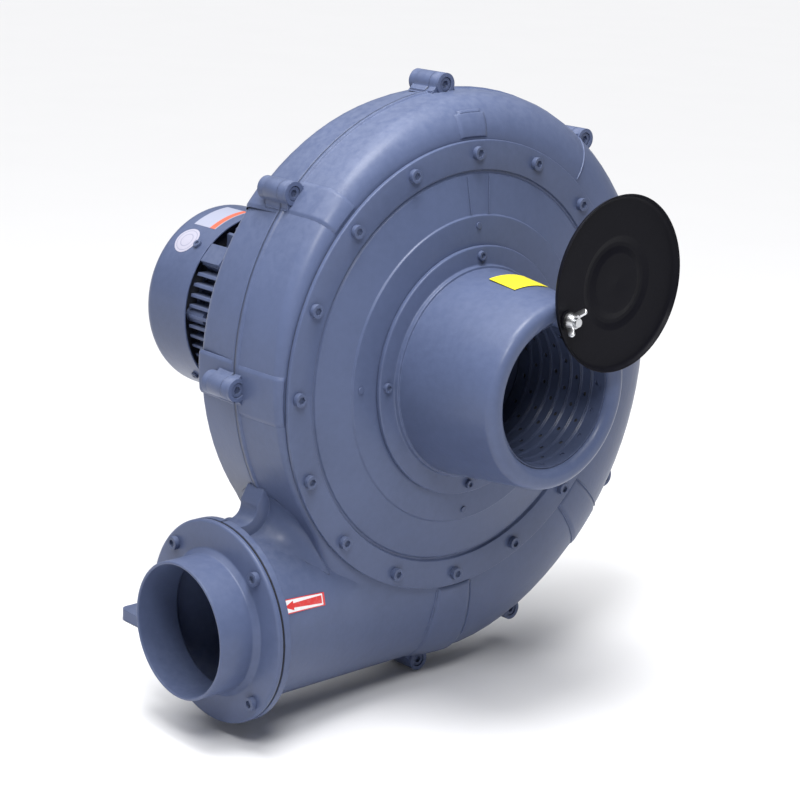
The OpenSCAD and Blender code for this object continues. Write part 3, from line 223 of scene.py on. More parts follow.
def sprayed_paint(name, colour, orange_peel=0.00006, casting=0.00035, roughness=0.40, dust=0.10, split=None,
                  gloss=0.2):
    """Sprayed enamel on a casting: cloudy colour, orange peel, soft waves of the casting, and a painted
    highlight in patches along the edges, which lie where the bevelled normal parts from the true one. With a
    split, a groove runs round at that depth y, and its middle is painted darker as painted shade."""
    f = Finish(name, colour, roughness, Coat_Weight=0.5 * gloss, Coat_Roughness=0.22, Specular_IOR_Level=gloss)
    where = f.place()
    cloud = f.noise(where, CLOUD, 4.0)
    fine = f.noise(where, FINE, 4.0, 0.6)
    speck = f.noise(where, SPECK, 1.0)
    waves = f.noise(where, WAVE, 2.0)
    soft = f.node("ShaderNodeBevel", {"samples": 6}, Radius=EDGE_BEVEL)
    sharp = f.node("ShaderNodeNewGeometry", {}, out="Normal")
    bend = f.node("ShaderNodeVectorMath", {"operation": "DOT_PRODUCT"}, soft, sharp, out="Value")
    # Painted highlight: where the bevelled normal turns away from the true one, the edge is painted lighter,
    # broken up by fine noise.
    edge = (1.0 - bend).ramp(0.004, 0.10) * fine.ramp(0.42, 0.66)
    grime = f.parts(sharp)[2].ramp(0.25, 1.0) * fine.ramp(0.30, 0.62) * dust
    base = f.blend(cloud.ramp(0.30, 0.70), tone(colour, 0.90), tone(colour, 1.09))
    base = f.blend(fine.ramp(0.35, 0.75) * 0.35, base, tone(colour, 1.22))
    base = f.blend(edge * 0.45, base, tone(colour, 1.75))
    base = f.blend(grime, base, DUST)
    relief = f.bump(waves, casting, 0.5, soft)
    if split is not None:
        wander, half_width, depth, shade = 0.6 * MM, 2.2 * MM, 1.2 * MM, 0.60
        away = abs(f.parts(where)[1] - (split + wander * (waves - 0.5)))
        relief = f.bump(away.ramp(0.0, half_width), depth, 1.0, relief)
        # Painted shade: the middle of the split's groove is painted darker.
        base = f.blend(away.ramp(2.0 * MM, 0.5 * MM) * shade, base, tone(colour, 0.35))
    relief = f.bump(fine, orange_peel * 5, 0.6, relief)
    relief = f.bump(speck, orange_peel, 0.9, relief)
    return f.feed(Base_Color=base, Roughness=(roughness - 0.06) + 0.14 * fine + 0.25 * grime,
                  Normal=relief).material


def bright_metal(name, colour, roughness=0.28, scratch=0.00003, tarnish=0.25):
    """Plated or ground metal: fine scratches and a little tarnish."""
    f = Finish(name, colour, roughness, 1.0)
    where = f.place(size=(1.0, 1.0, 3.0))
    cloud = f.noise(where, 60.0, 3.0)
    grain = f.noise(where, 1400.0, 2.0)
    soft = f.node("ShaderNodeBevel", {"samples": 4}, Radius=0.4 * MM)
    base = f.blend(cloud.ramp(0.45, 0.75) * tarnish, tone(colour, 1.0), tone(colour, 0.55))
    return f.feed(Base_Color=base, Roughness=(roughness - 0.05) + 0.16 * cloud,
                  Normal=f.bump(grain, scratch, 0.6, soft)).material


def plain_finish(name, colour, roughness=0.6, grain=500.0, depth=0.00008, lift=1.5, metallic=0.0):
    """Rubber, foam, plastic or varnish: a fine grain with a little lift in its high spots."""
    f = Finish(name, colour, roughness, metallic)
    where = f.place()
    high = f.noise(where, grain, 3.0, 0.65)
    slow = f.noise(where, 22.0, 2.0)
    base = f.blend(high.ramp(0.40, 0.75), tone(colour, 0.85), tone(colour, lift))
    return f.feed(Base_Color=f.blend(slow * 0.3, base, tone(colour, 1.3)),
                  Roughness=(roughness - 0.08) + 0.18 * high, Normal=f.bump(high, depth, 0.8)).material


def chart_of(f):
    """The two numbers of the piece's own flat map, each from 0 to 1."""
    return f.parts(f.node("ShaderNodeUVMap", {"uv_map": "Chart"}))[:2]


def arrow_finish(name, red):
    """Red border, white field and a red arrow that points to the outlet, on a vinyl label. u runs from the
    arrow's tip to its tail; up is 0 on the middle line and 1 at the long edges; side counts from both ends in
    half heights of the label."""
    f = Finish(name, red, 0.38, Coat_Weight=0.3)
    u, v = chart_of(f)
    up = abs(v - 0.5) * 2.0
    side = u.least(1.0 - u) * 3.4
    tip, neck, tail = 0.05, 0.25, 0.93
    inside = up.below(0.86) * side.above(0.16)
    head = up.below((u - tip) * 3.0) * u.below(neck + 0.02)
    shaft = up.below(0.30 + (u - neck) * 0.45) * u.above(neck) * u.below(tail)
    worn = f.noise(f.place(), 260.0, 3.0)
    colour = f.blend(inside * (1.0 - head.most(shaft)), red, (0.78, 0.76, 0.78))
    return f.feed(Base_Color=f.blend(worn.ramp(0.5, 0.8) * 0.25, colour, (0.5, 0.45, 0.48)),
                  Roughness=0.32 + 0.2 * worn).material


def bare_label(name, colour):
    """A plain vinyl label, a little faded and scuffed."""
    f = Finish(name, colour, 0.40, Coat_Weight=0.25)
    where = f.place()
    faded = f.noise(where, 55.0, 3.0)
    scuff = f.noise(where, 420.0, 3.0, 0.7)
    base = f.blend(faded.ramp(0.35, 0.7), tone(colour, 0.88), tone(colour, 1.08))
    return f.feed(Base_Color=f.blend(scuff.ramp(0.60, 0.78) * 0.35, base, tone(colour, 0.5)),
                  Roughness=0.34 + 0.25 * scuff).material


def stripe_finish(name):
    """A bare pale label with an orange stripe along its front edge."""
    pale, orange, edge, shade = (0.34, 0.36, 0.47), (0.62, 0.10, 0.035), (0.28, 0.30, 0.38), (0.30, 0.31, 0.38)
    f = Finish(name, pale, 0.40, Coat_Weight=0.2)
    v = chart_of(f)[1]
    faded = f.noise(f.place(), 70.0, 3.0)
    base = f.blend(v.below(0.26), pale, orange)
    base = f.blend(v.below(0.04), base, edge)
    return f.feed(Base_Color=f.blend(faded * 0.25, base, shade), Roughness=0.36 + 0.15 * faded).material


def ringed_finish(name):
    """A round pale sticker with faint printed rings."""
    pale, print_colour, shade = (0.42, 0.41, 0.50), (0.22, 0.23, 0.33), (0.32, 0.32, 0.42)
    f = Finish(name, pale, 0.35, Coat_Weight=0.2)
    u = chart_of(f)[0]
    ring = abs(u - 0.82).below(0.03).most(abs(u - 0.50).below(0.035))
    grain = f.noise(f.place(), 500.0, 3.0)
    base = f.blend(ring * 0.7, pale, print_colour)
    return f.feed(Base_Color=f.blend(grain.ramp(0.4, 0.7) * 0.2, base, shade),
                  Roughness=0.30 + 0.2 * grain).material


# Meshes ------------------------------------------------------------------


def grid_mesh(name, points, close_u=False, close_v=False, sharp=None, chart=None):
    """A mesh object from points[i, j]: each small face joins a point to the next in i and in j.
    The faces of a closed form point outwards: its signed volume, the sum of a . (b x c) / 6, is positive.
    chart[i, j] is the place of that point on the piece's own flat map."""
    points = np.asarray(points, float)
    n, m = points.shape[:2]
    order = np.arange(n * m).reshape(n, m)
    rows = np.vstack([order, order[:1]]) if close_u else order
    cells = np.hstack([rows, rows[:, :1]]) if close_v else rows
    quads = np.stack([cells[:-1, :-1], cells[1:, :-1], cells[1:, 1:], cells[:-1, 1:]], -1).reshape(-1, 4)
    flat = points.reshape(-1, 3)
    corner = flat[quads]
    volume = sum((corner[:, 0] * np.cross(corner[:, a], corner[:, a + 1])).sum() for a in (1, 2))
    if volume < 0:
        quads = quads[:, ::-1]
    mesh = bpy.data.meshes.new(name)
    mesh.from_pydata(flat.tolist(), [], quads.tolist())
    mesh.validate()
    piece = bpy.data.objects.new(name, mesh)
    bpy.context.scene.collection.objects.link(piece)
    mesh.shade_smooth()
    if sharp is not None:
        mesh.set_sharp_from_angle(angle=math.radians(sharp))
    if chart is not None:
        corners = np.empty(len(mesh.loops), np.int32)
        mesh.loops.foreach_get("vertex_index", corners)
        places = np.asarray(chart).reshape(-1, 2)[corners]
        mesh.uv_layers.new(name="Chart").data.foreach_set("uv", places.ravel())
    return piece


def pinched(name, layers, sharp, chart=None):
    """A form from rows of points in millimetres that each run up one side and back down the other: its first and
    last rows are drawn together into a line, the mean of both sides, which closes it."""
    first, last = ((layers[i] + layers[i, ::-1])[None] / 2 for i in (0, -1))
    if chart is not None:
        chart = np.concatenate([chart[:1], chart, chart[-1:]], 0)
    points = placed(np.concatenate([first, layers, last], 0))
    return grid_mesh(name, points, close_v=True, sharp=sharp, chart=chart)


def joined(name, pieces):
    """One object from several that share a finish."""
    for other in bpy.context.selected_objects:
        other.select_set(False)
    for piece in pieces:
        piece.select_set(True)
    bpy.context.view_layer.objects.active = pieces[0]
    bpy.ops.object.join()
    pieces[0].name = name
    pieces[0].data.name = name
    return pieces[0]


def rounded(corners, radius, steps=5):
    """A closed outline with each corner cut by an arc of the radius, or less where its sides are short: the arc
    is tangent to both sides, so it starts radius / tan(half the corner) from the corner."""
    corners = np.asarray(corners, float)
    before, after = np.roll(corners, 1, 0) - corners, np.roll(corners, -1, 0) - corners
    lb, la = np.linalg.norm(before, axis=1), np.linalg.norm(after, axis=1)
    ub, ua = before / lb[:, None], after / la[:, None]
    half = np.arccos(np.clip((ub * ua).sum(1), -1, 1)) / 2
    cut = np.minimum(radius / np.maximum(np.tan(half), 1e-6), 0.45 * np.minimum(lb, la))
    reach = cut / np.maximum(np.cos(half), 1e-6)
    bisector = ub + ua
    size = np.linalg.norm(bisector, axis=1)
    straight = size < 1e-6
    centre = corners + bisector / np.where(straight, 1, size)[:, None] * reach[:, None]
    start, end = corners + ub * cut[:, None] - centre, corners + ua * cut[:, None] - centre
    share = np.linspace(0, 1, steps)[None, :, None]
    cosine = (start * end).sum(1) / np.maximum((start * start).sum(1), 1e-12)
    turn = np.arccos(np.clip(cosine, -1, 1))[:, None, None]
    safe = np.where(turn < 1e-6, 1, np.sin(turn))
    arc = (np.sin((1 - share) * turn) * start[:, None] + np.sin(share * turn) * end[:, None]) / safe
    kept = straight[:, None, None] | (turn < 1e-6)
    return np.where(kept, corners[:, None], centre[:, None] + arc).reshape(-1, 2)


def spun(name, profile, turns, centre=(0.0, 0.0), sharp=30, along="y"):
    """A closed profile of (radius, depth) points carried round a line that runs along the shaft or the outlet:
    across = radius cos a, up = radius sin a, and depth along the line."""
    profile = np.asarray(profile, float)
    angle = np.linspace(0, 2 * np.pi, turns, endpoint=False)[:, None]
    across = centre[0] + profile[:, 0] * np.cos(angle)
    up = centre[1] + profile[:, 0] * np.sin(angle)
    depth = profile[:, 1] + 0 * angle
    points = np.stack([across, depth, up] if along == "y" else [depth, across, up], -1)
    return grid_mesh(name, placed(points), close_u=True, close_v=True, sharp=sharp)


def film(name, surface, normal, thickness, across=40, along=24):
    """A thin label on a surface(u, v): one layer stands its thickness proud along the normal, the other lies
    just under the surface, and both meet in a line at each end."""
    under = 0.15
    u, v = np.meshgrid(np.linspace(0, 1, across), np.linspace(0, 1, along), indexing="ij")
    top, out, chart = surface(u, v), normal(u, v), np.stack([u, v], -1)
    layers = np.concatenate([top + out * thickness, (top - out * under)[:, ::-1]], 1)
    return pinched(name, layers, 40, np.concatenate([chart, chart[:, ::-1]], 1))


def plate(name, outline, thickness, round_over, axes, origin, middle=None):
    """A plate with rounded-over edges: its outline shrinks towards its middle by steps of a quarter circle at
    both faces. axes are the plate's two directions and its normal."""
    outline = np.asarray(outline, float)
    middle = outline.mean(0) if middle is None else middle
    spoke = outline - middle
    spoke /= np.linalg.norm(spoke, axis=1)[:, None]
    q = np.linspace(0, np.pi / 2, 5)
    insets, heights = round_over * (1 - np.cos(q)), thickness / 2 - round_over * (1 - np.sin(q))
    rings = [(outline - spoke * i, h) for i, h in zip(insets, heights)]
    rings = [(middle + 0 * outline, thickness / 2)] + rings[::-1] + [(flat, -h) for flat, h in rings]
    rings.append((middle + 0 * outline, -thickness / 2))
    a, b, c = (np.asarray(v, float) for v in axes)
    points = np.stack([origin + flat[:, :1] * a + flat[:, 1:] * b + h * c for flat, h in rings], 1)
    return grid_mesh(name, placed(points), close_u=True, sharp=50)


def welded_copy(node, name, sharp):
    """The node's own form as one skin: corners that meet within a hundredth of a millimetre become one
    corner, and its shading runs smoothly over every edge that turns less than the given angle."""
    weld = 0.01 * MM
    source = NODES[node].data
    count = len(source.vertices)
    places = np.empty(count * 3)
    source.vertices.foreach_get("co", places)
    places = places.reshape(-1, 3)
    _, first, inverse = np.unique(np.round(places / weld).astype(np.int64), axis=0,
                                  return_index=True, return_inverse=True)
    source.calc_loop_triangles()
    corners = np.empty(len(source.loop_triangles) * 3, np.int32)
    source.loop_triangles.foreach_get("vertices", corners)
    faces = inverse.reshape(-1)[corners].reshape(-1, 3)
    whole = (faces[:, 0] != faces[:, 1]) & (faces[:, 1] != faces[:, 2]) & (faces[:, 2] != faces[:, 0])
    mesh = bpy.data.meshes.new(name)
    mesh.from_pydata(places[first].tolist(), [], faces[whole].tolist())
    mesh.validate()
    mesh.shade_smooth()
    mesh.set_sharp_from_angle(angle=math.radians(sharp))
    piece = bpy.data.objects.new(name, mesh)
    bpy.context.scene.collection.objects.link(piece)
    evening = piece.modifiers.new("Even shading", "WEIGHTED_NORMAL")
    evening.mode, evening.keep_sharp, evening.weight = "FACE_AREA_WITH_ANGLE", True, 60
    return piece


def settle(piece, material, body, slot, *nodes):
    """Gives a finished piece its material and its body, and hides the nodes it stands for. The slot is not used.
    """
    piece.data.materials.clear()
    piece.data.materials.append(material)
    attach(piece, body)
    if nodes:
        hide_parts(*nodes)
    return piece


# The casing's own forms --------------------------------------------------

# Millimetres about the shaft and the split. Angles are seen from the front: 0 to the right, 90 at the top.
# The scroll's knots are a turn from the outlet's side over the top, and the casing's outer radius there.
TONGUE_TURN = 325.0
SCROLL = np.array([[TONGUE_TURN - 360, 222.0], [0, 226.5], [45, 239.5], [90, 256.0], [135, 279.0], [180, 303.0],
                   [225, 316.0], [270, 310.0], [298, 266.0], [TONGUE_TURN, 222.0]])
HALF_DEPTH = 60.0
DRAFT = 2.0
MOUTH_RADIUS = 219.0
LEAST_CORNER, LEAST_WALL = 7.0, 4.0
BOSS_ANGLES = (180, 135, 88.5, 44, 0, -32, -64.5, -88.5)
BOSS_OUT, BOSS_RADIUS = 6.0, 11.0
BOSS_FRONT, BOSS_BACK, BOSS_GAP = -9.5, 21.5, 0.2

# Raised fields of the casting, each from one angle to another, and mould lines with their first share
FRONT_FIELDS = ((130.7, 139.0), (174.6, 186.6), (-48.2, -39.4), (-94.0, -83.0))
REAR_FIELDS = ((131.5, 139.5), (174.0, 184.5))
MOULD_LINES = ((49.6, 0.35), (-39.2, 0.4), (-48.4, 0.4), (-82.8, 0.5), (-94.5, 0.5))
FIELD_START, FIELD_END, LINE_END = 0.05, 0.985, 0.97

# The outlet neck: its axis, its ends, its half width and half height at the root, and its radius at the flange
NECK_LEVEL, NECK_START, NECK_END = -222.0, -40.0, -238.0
NECK_WIDE, NECK_TALL, NECK_RADIUS = 59.0, 87.5, 82.0

FORWARD, UPWARD, RIGHTWARD = np.array([0.0, -1.0, 0.0]), np.array([0.0, 0.0, 1.0]), np.array([1.0, 0.0, 0.0])


def directions(angle):
    """Unit vectors at an angle: away from the shaft (cos a, 0, sin a), and round it (-sin a, 0, cos a)."""
    a = math.radians(angle)
    return np.array([math.cos(a), 0, math.sin(a)]), np.array([-math.sin(a), 0, math.cos(a)])


def scroll_radius(angle):
    """Outer radius of the casing at an angle. Cubic pieces share their slopes at the knots:
    r = a(1 + 2u)(1 - u)^2 + b u^2 (3 - 2u) + w s_a u (1 - u)^2 - w s_b u^2 (1 - u)."""
    turn = np.mod(180.0 - np.asarray(angle, float), 360.0)
    turn = np.where(turn > TONGUE_TURN, turn - 360.0, turn)
    knots, radii = SCROLL[:, 0], SCROLL[:, 1]
    slopes = np.zeros(len(knots))
    slopes[1:-1] = (radii[2:] - radii[:-2]) / (knots[2:] - knots[:-2])
    i = np.clip(np.searchsorted(knots, turn, side="right") - 1, 0, len(knots) - 2)
    w = knots[i + 1] - knots[i]
    u = (turn - knots[i]) / w
    return (radii[i] * (1 + 2 * u) * (1 - u) ** 2 + radii[i + 1] * u * u * (3 - 2 * u)
            + w * slopes[i] * u * (1 - u) ** 2 - w * slopes[i + 1] * u * u * (1 - u))


def casing_section(angle, share):
    """Point and outward normal (radius, depth) on the casing's half section: share runs from 0 near the split,
    up the drafted wall, then round the elliptical corner to 1 at the rim of the cover. The corner's half axes
    a and b grow with the radius, and its length is about 1.3 times their mean."""
    radius = scroll_radius(angle)
    a = np.maximum(LEAST_CORNER, radius - MOUTH_RADIUS)
    b = np.minimum(a, HALF_DEPTH - LEAST_WALL)
    wall = HALF_DEPTH - b
    slope = DRAFT * wall / HALF_DEPTH
    straight = wall / (wall + 1.3 * (a + b) / 2)
    q = np.clip((share - straight) / (1 - straight), 0, 1) * np.pi / 2
    up = np.clip(share / straight, 0, 1)
    r = np.where(share < straight, radius - slope * up, radius - slope - a + a * np.cos(q))
    y = np.where(share < straight, wall * up, wall + b * np.sin(q))
    nr, ny = np.cos(q) / a, np.sin(q) / b
    size = np.hypot(nr, ny)
    return r, y, nr / size, ny / size


def boss_fillet(name, angle, y0, y1, fillet, round_over=1.2):
    """The flare of one boss. Its outline is the boss circle with two arcs of the fillet radius, each tangent to
    the circle and to the wall; it is carried along the shaft's direction with its free edge rounded over."""
    radius, inner_radius, root, keel, steep = BOSS_RADIUS + 0.02, BOSS_RADIUS - 1.6, -3.2, -5.0, 0.35
    reach = math.sqrt((radius + fillet) ** 2 - (BOSS_OUT - fillet) ** 2)
    touch = math.atan2(BOSS_OUT - fillet, reach)
    arc = np.linspace(-np.pi / 2, touch, 14)
    left = np.stack([-reach + fillet * np.cos(arc), fillet + fillet * np.sin(arc)], -1)
    cap = np.linspace(np.pi + touch, -touch, 28)[1:-1]
    crown = np.stack([radius * np.cos(cap), BOSS_OUT + radius * np.sin(cap)], -1)
    outline = np.vstack([[[-reach, root]], left, crown, left[::-1] * [-1, 1], [[reach, root], [0, keel]]])
    centre = np.array([0, BOSS_OUT])
    spoke = outline - centre
    spoke /= np.linalg.norm(spoke, axis=1)[:, None]
    inner = centre + spoke * inner_radius
    step = 1 if y1 > y0 else -1
    levels = [(0.0, y0), (0.0, y1 - step * round_over), (steep, y1 - step * round_over / 3), (1.0, y1)]
    rings = [(outline - spoke * pull * round_over, y) for pull, y in levels] + [(inner, y1), (inner, y0)]
    radial, around = directions(angle)
    base = scroll_radius(angle) * radial
    points = [base + flat[:, 1:2] * radial + flat[:, 0:1] * around - y * FORWARD for flat, y in rings]
    return grid_mesh(name, placed(np.stack(points, 1)), close_u=True, close_v=True, sharp=50)


def raised_band(name, first, last, start, end, height, side=-1):
    """A slightly raised field of the casting. It follows the half section between two angles; its height rises
    as u^2 (3 - 2u) over a soft edge on all four sides, and its underside lies in the wall."""
    soft_angle, soft_share, dip, under = 0.9, 0.02, 0.06, 0.4
    angle, share = np.meshgrid(np.linspace(first, last, 40), np.linspace(start, end, 80), indexing="ij")
    r, y, nr, ny = casing_section(angle, share)
    u = np.clip(np.minimum(np.minimum(angle - first, last - angle) / soft_angle,
                           np.minimum(share - start, end - share) / soft_share), 0, 1)
    t = np.radians(angle)
    radial = np.stack([np.cos(t), 0 * t, np.sin(t)], -1)
    normal = nr[..., None] * radial - (side * ny)[..., None] * FORWARD
    base = r[..., None] * radial - (side * y)[..., None] * FORWARD
    top = base + (height * u * u * (3 - 2 * u) - dip)[..., None] * normal
    return pinched(name, np.concatenate([top, (base - under * normal)[:, ::-1]], 1), 60)


def bead(name, path, normal, side, width, height):
    """A low rib along a path on a surface: across its width its height is h cos(pi s), s from -1/2 to 1/2, and
    it tapers to nothing over the first and last twentieth of the path. Its underside lies in the surface."""
    taper, dip, under = 0.05, 0.05, 0.5
    path, normal, side = path[:, None], normal[:, None], side[:, None]
    along = np.linspace(0, 1, len(path))
    fade = np.clip(np.minimum(along, 1 - along) / taper, 0, 1)[:, None, None]
    s = np.linspace(-0.5, 0.5, 9)[None, :, None]
    top = path + side * s * width + normal * (np.cos(np.pi * s) * height * fade - dip)
    low = path + side * s[:, ::-1] * width - normal * under
    return pinched(name, np.concatenate([top, low], 1), 60)


def mould_line(name, angle, start, end, width=1.6, height=0.9):
    """A bead on the front half of the casing at one angle, from share to share of the half section."""
    share = np.linspace(start, end, 60)
    r, y, nr, ny = casing_section(0 * share + angle, share)
    radial, around = directions(angle)
    path = r[:, None] * radial + y[:, None] * FORWARD
    normal = nr[:, None] * radial + ny[:, None] * FORWARD
    return bead(name, path, normal, np.tile(around, (len(share), 1)), width, height)


def neck_shape(x):
    """Half width and half height of the outlet neck: an ellipse that rounds out into a pipe with the square of
    the distance along it."""
    u = np.clip((NECK_START - x) / (NECK_START - NECK_END), 0, None)
    return NECK_WIDE + (NECK_RADIUS - NECK_WIDE) * u * u, NECK_TALL + (NECK_RADIUS - NECK_TALL) * u * u


def neck_point(x, angle):
    """The point of the neck's ellipse at an angle above its front: (-wide cos a, tall sin a) about the axis."""
    wide, tall = neck_shape(x)
    return np.stack([x, -wide * np.cos(angle), NECK_LEVEL + tall * np.sin(angle)], -1)


def neck_normal(x, angle):
    """Outward from the ellipse, (-cos a / wide, sin a / tall), with a slight lean against the flow."""
    wide, tall = neck_shape(x)
    lean, mean = 0.06, 75.0
    n = np.stack([0 * x + lean, -np.cos(angle) / wide * mean, np.sin(angle) / tall * mean], -1)
    return n / np.linalg.norm(n, axis=-1, keepdims=True)


def crotch_fillet(name):
    """The hollow blend between the outlet neck and the scroll above it. At each depth y the neck's top lies at
    z = level + tall sqrt(1 - (y / wide)^2) and the scroll is a circle of radius R; an arc of radius q touches
    both, so its centre is at height z + q and at R + q from the shaft. A few rounds settle where that is. q
    shrinks to nothing at both ends: q = widest (1 - (y / reach)^4). Past the arc's foot a narrow lead dips under
    the neck. The skin's flats lie about 0.55 inside the true neck, so the level is that much lower here."""
    reach, widest, least = 57.0, 24.0, 0.4
    skin_dip, lead_dip, lead_length, arc_dip, bury = 0.55, 0.2, 3.5, 0.08, 3.0
    y = np.linspace(-reach, reach, 96)[:, None]

    def neck_top(x):
        wide, tall = neck_shape(x)
        return NECK_LEVEL - skin_dip + tall * np.sqrt(1 - (y / wide) ** 2)

    q = least + widest * (1 - np.abs(y / reach) ** 4)
    into = np.clip((np.abs(y) - HALF_DEPTH + LEAST_CORNER) / LEAST_CORNER, 0, 1)
    corner = LEAST_CORNER * (1 - np.sqrt(1 - into ** 2))
    cx, cz = -198.0 + 0 * y, -120.0 + 0 * y
    for _ in range(6):
        top = neck_top(cx)
        scroll = scroll_radius(np.degrees(np.arctan2(cz, cx))) - DRAFT * np.abs(y) / HALF_DEPTH - corner
        cz = top + q
        cx = -np.sqrt((scroll + q) ** 2 - cz ** 2)
    share = np.linspace(0, 1, 24)[None, :]
    turn = np.arctan2(-cz, -cx) * (1 - share) - np.pi / 2 * share
    sunk = q + arc_dip * np.clip(1 - 2 * share, 0, 1) ** 8
    lead = cx - lead_length * q / widest
    x = np.hstack([cx + sunk * np.cos(turn), lead, bury - np.sqrt(scroll ** 2 - top ** 2)])
    z = np.hstack([cz + sunk * np.sin(turn), neck_top(lead) - lead_dip, top - bury])
    return grid_mesh(name, placed(np.stack([x, y + 0 * x, z], -1)), close_v=True, sharp=50)


def tongue_web(name):
    """The web in the crotch beside the flange: a plate cut from one outline, whose open side is a hollow arc."""
    front, back, radius = -12.5, 12.0, 14.0
    hollow = np.radians(np.linspace(12, -85, 16))
    arc = np.array([-221.5, -115.5]) + radius * np.stack([np.cos(hollow), np.sin(hollow)], -1)
    in_scroll, in_neck = [[-193, -101], [-199.5, -98.5]], [[-200, -152], [-184, -134], [-186, -112]]
    by_flange = [[NECK_END + 1, -130.5], [NECK_END + 1, -150]]
    outline = np.vstack([in_scroll, arc, by_flange, in_neck])
    return plate(name, outline, back - front, 1.6, (RIGHTWARD, UPWARD, -FORWARD), (front + back) / 2 * -FORWARD,
                 np.array([-200.0, -132.0]))


# Profiles of the spun pieces ---------------------------------------------

COVER_FRONT, COVER_SEAT, COVER_SHEET, COVER_HOLE = -72.5, -61.0, 4.5, 76.0
DUCT_ROOT, DUCT_TIP = np.array([102.0, -77.5]), np.array([89.0, -182.0])
DUCT_END, DUCT_BORE = -189.5, 69.0
PIVOT_REACH, PIVOT_ANGLE = 73.8, 93.0
DISC_REACH, DISC_ANGLE = 68.5, 23.3
PIVOT = PIVOT_REACH * directions(PIVOT_ANGLE)[0][[0, 2]]
DISC_CENTRE = PIVOT + DISC_REACH * directions(DISC_ANGLE)[0][[0, 2]]
STUD_BORE = 4.05
WING_ANGLE, WING_BASE, WING_HEIGHT = 52.5, -197.2, 9.0
COWL_RADIUS = 98.0


def cover_profile():
    """Half section of the ring cover: a raised middle round the duct's hole, a slope with a groove near its
    foot, and a flat rim that is screwed on the casing."""
    crown, groove, rim, floor = 145.5, 186.2, 218.0, -62.8
    inside, outside = COVER_FRONT + COVER_SHEET, COVER_SEAT - COVER_SHEET
    back = [[COVER_HOLE, inside], [crown, inside], [groove - 1.5, COVER_SEAT], [rim, COVER_SEAT]]
    front = [[rim, outside], [groove + 4.2, outside], [groove + 3.2, floor], [groove + 1.0, floor],
             [groove, floor - 1.8], [crown + 3.7, COVER_FRONT + 1.9], [crown + 2.7, COVER_FRONT],
             [COVER_HOLE, COVER_FRONT]]
    return rounded(back + front, 0.9)


def duct_profile():
    """Half section of the inlet duct: a flange on the cover, a tapered wall, and a lip rolled back into the bore
    by two quarter circles."""
    flange, thick, roll = 120.5, 5.0, 9.0
    root, waist = DUCT_ROOT[0], DUCT_ROOT[1] - 4.5
    foot = rounded([[root - 3, COVER_FRONT], [flange, COVER_FRONT], [flange, COVER_FRONT - thick],
                    [root + 0.6, COVER_FRONT - thick], [root, waist], [root - 3, waist]], 1.4)
    foot = foot[(foot[:, 0] > root - 2.5) | (foot[:, 1] > COVER_FRONT - 1)]
    q = np.linspace(0, np.pi / 2, 12)
    fore = DUCT_END + roll
    lip = np.concatenate([np.stack([DUCT_TIP[0] - roll + roll * np.cos(q), fore - roll * np.sin(q)], -1),
                          np.stack([DUCT_BORE + roll - roll * np.sin(q), fore - roll * np.cos(q)], -1)])
    return np.concatenate([foot[foot[:, 1] > waist + 0.1], lip, [[DUCT_BORE, fore + 10], [86, fore + 13]]])


def disc_profile():
    """Half section of the damper disc: thin sheet with a pressed ring, and an edge that turns forwards."""
    centre, face, sheet, press = 0.01, -195.5, 1.5, 2.0
    back = face + sheet
    return rounded([[centre, face], [28, face], [34, face + press], [38, face + press], [44, face], [79.5, face],
                    [82, face - 5], [83, face - 4.4], [80.7, back], [44.3, back], [38.3, back + press],
                    [33.7, back + press], [27.7, back], [centre, back]], 4.0, 7)


def spigot_profile():
    """Half section of the outlet spigot along the outlet: a flange, a step and the pipe."""
    bore, outside, flange, step = 62.0, 65.0, 96.5, 5.0
    face, thick, end = -239.0, 6.0, -286.0
    return rounded([[bore, face], [flange, face], [flange, face - thick], [outside + step, face - thick],
                    [outside, face - thick - step], [outside, end], [bore, end]], 3.0, 6)


def arrow_place(u, v, length):
    """From the label's own corners to a place along the neck and an angle round it; both edges fall a little."""
    start, low, low_fall, high, high_fall = -224.0, 17.4, 4.0, 27.0, 5.2
    return start + length * u, np.radians((low - low_fall * u) * (1 - v) + (high - high_fall * u) * v)


def duct_place(u, v):
    """Angle, depth and radius on the duct for the yellow sticker; the wall tapers straight from root to tip."""
    first, span, start, width = 100.5, 27.0, -107.5, 33.0
    angle, y = np.radians(first - span * u), start - width * v
    taper = (DUCT_TIP[0] - DUCT_ROOT[0]) / (DUCT_TIP[1] - DUCT_ROOT[1])
    return angle, y, DUCT_ROOT[0] + (y - DUCT_ROOT[1]) * taper


def duct_point(u, v):
    """The point on the duct: (r cos a, y, r sin a)."""
    angle, y, r = duct_place(u, v)
    return np.stack([r * np.cos(angle), y, r * np.sin(angle)], -1)


def duct_normal(u, v):
    """Outward with a lean to the front, as the wall tapers."""
    angle, lean = duct_place(u, v)[0], 0.12
    return np.stack([np.cos(angle), 0 * angle - lean, np.sin(angle)], -1)


def cowl_point(angle, y, r=COWL_RADIUS):
    """A point at an angle, a depth and a radius about the shaft; with no depth and a radius of 1, a normal."""
    a = np.radians(angle)
    return np.stack([r * np.cos(a), y, r * np.sin(a)], -1)


def strip_place(u, v):
    """Angle and depth of the label on the cowl."""
    first, span, start, width = 121.0, 27.0, 262.0, 36.0
    return first - span * u, start + width * v


def round_place(u, v):
    """Angle and depth of the round sticker: u runs from its middle to its rim, v once round."""
    angle, y, radius = 134.0, 287.0, 15.5
    reach, way = radius * u, 2 * np.pi * v
    return angle + np.degrees(reach * np.cos(way) / COWL_RADIUS), y + reach * np.sin(way)


# Operators ---------------------------------------------------------------


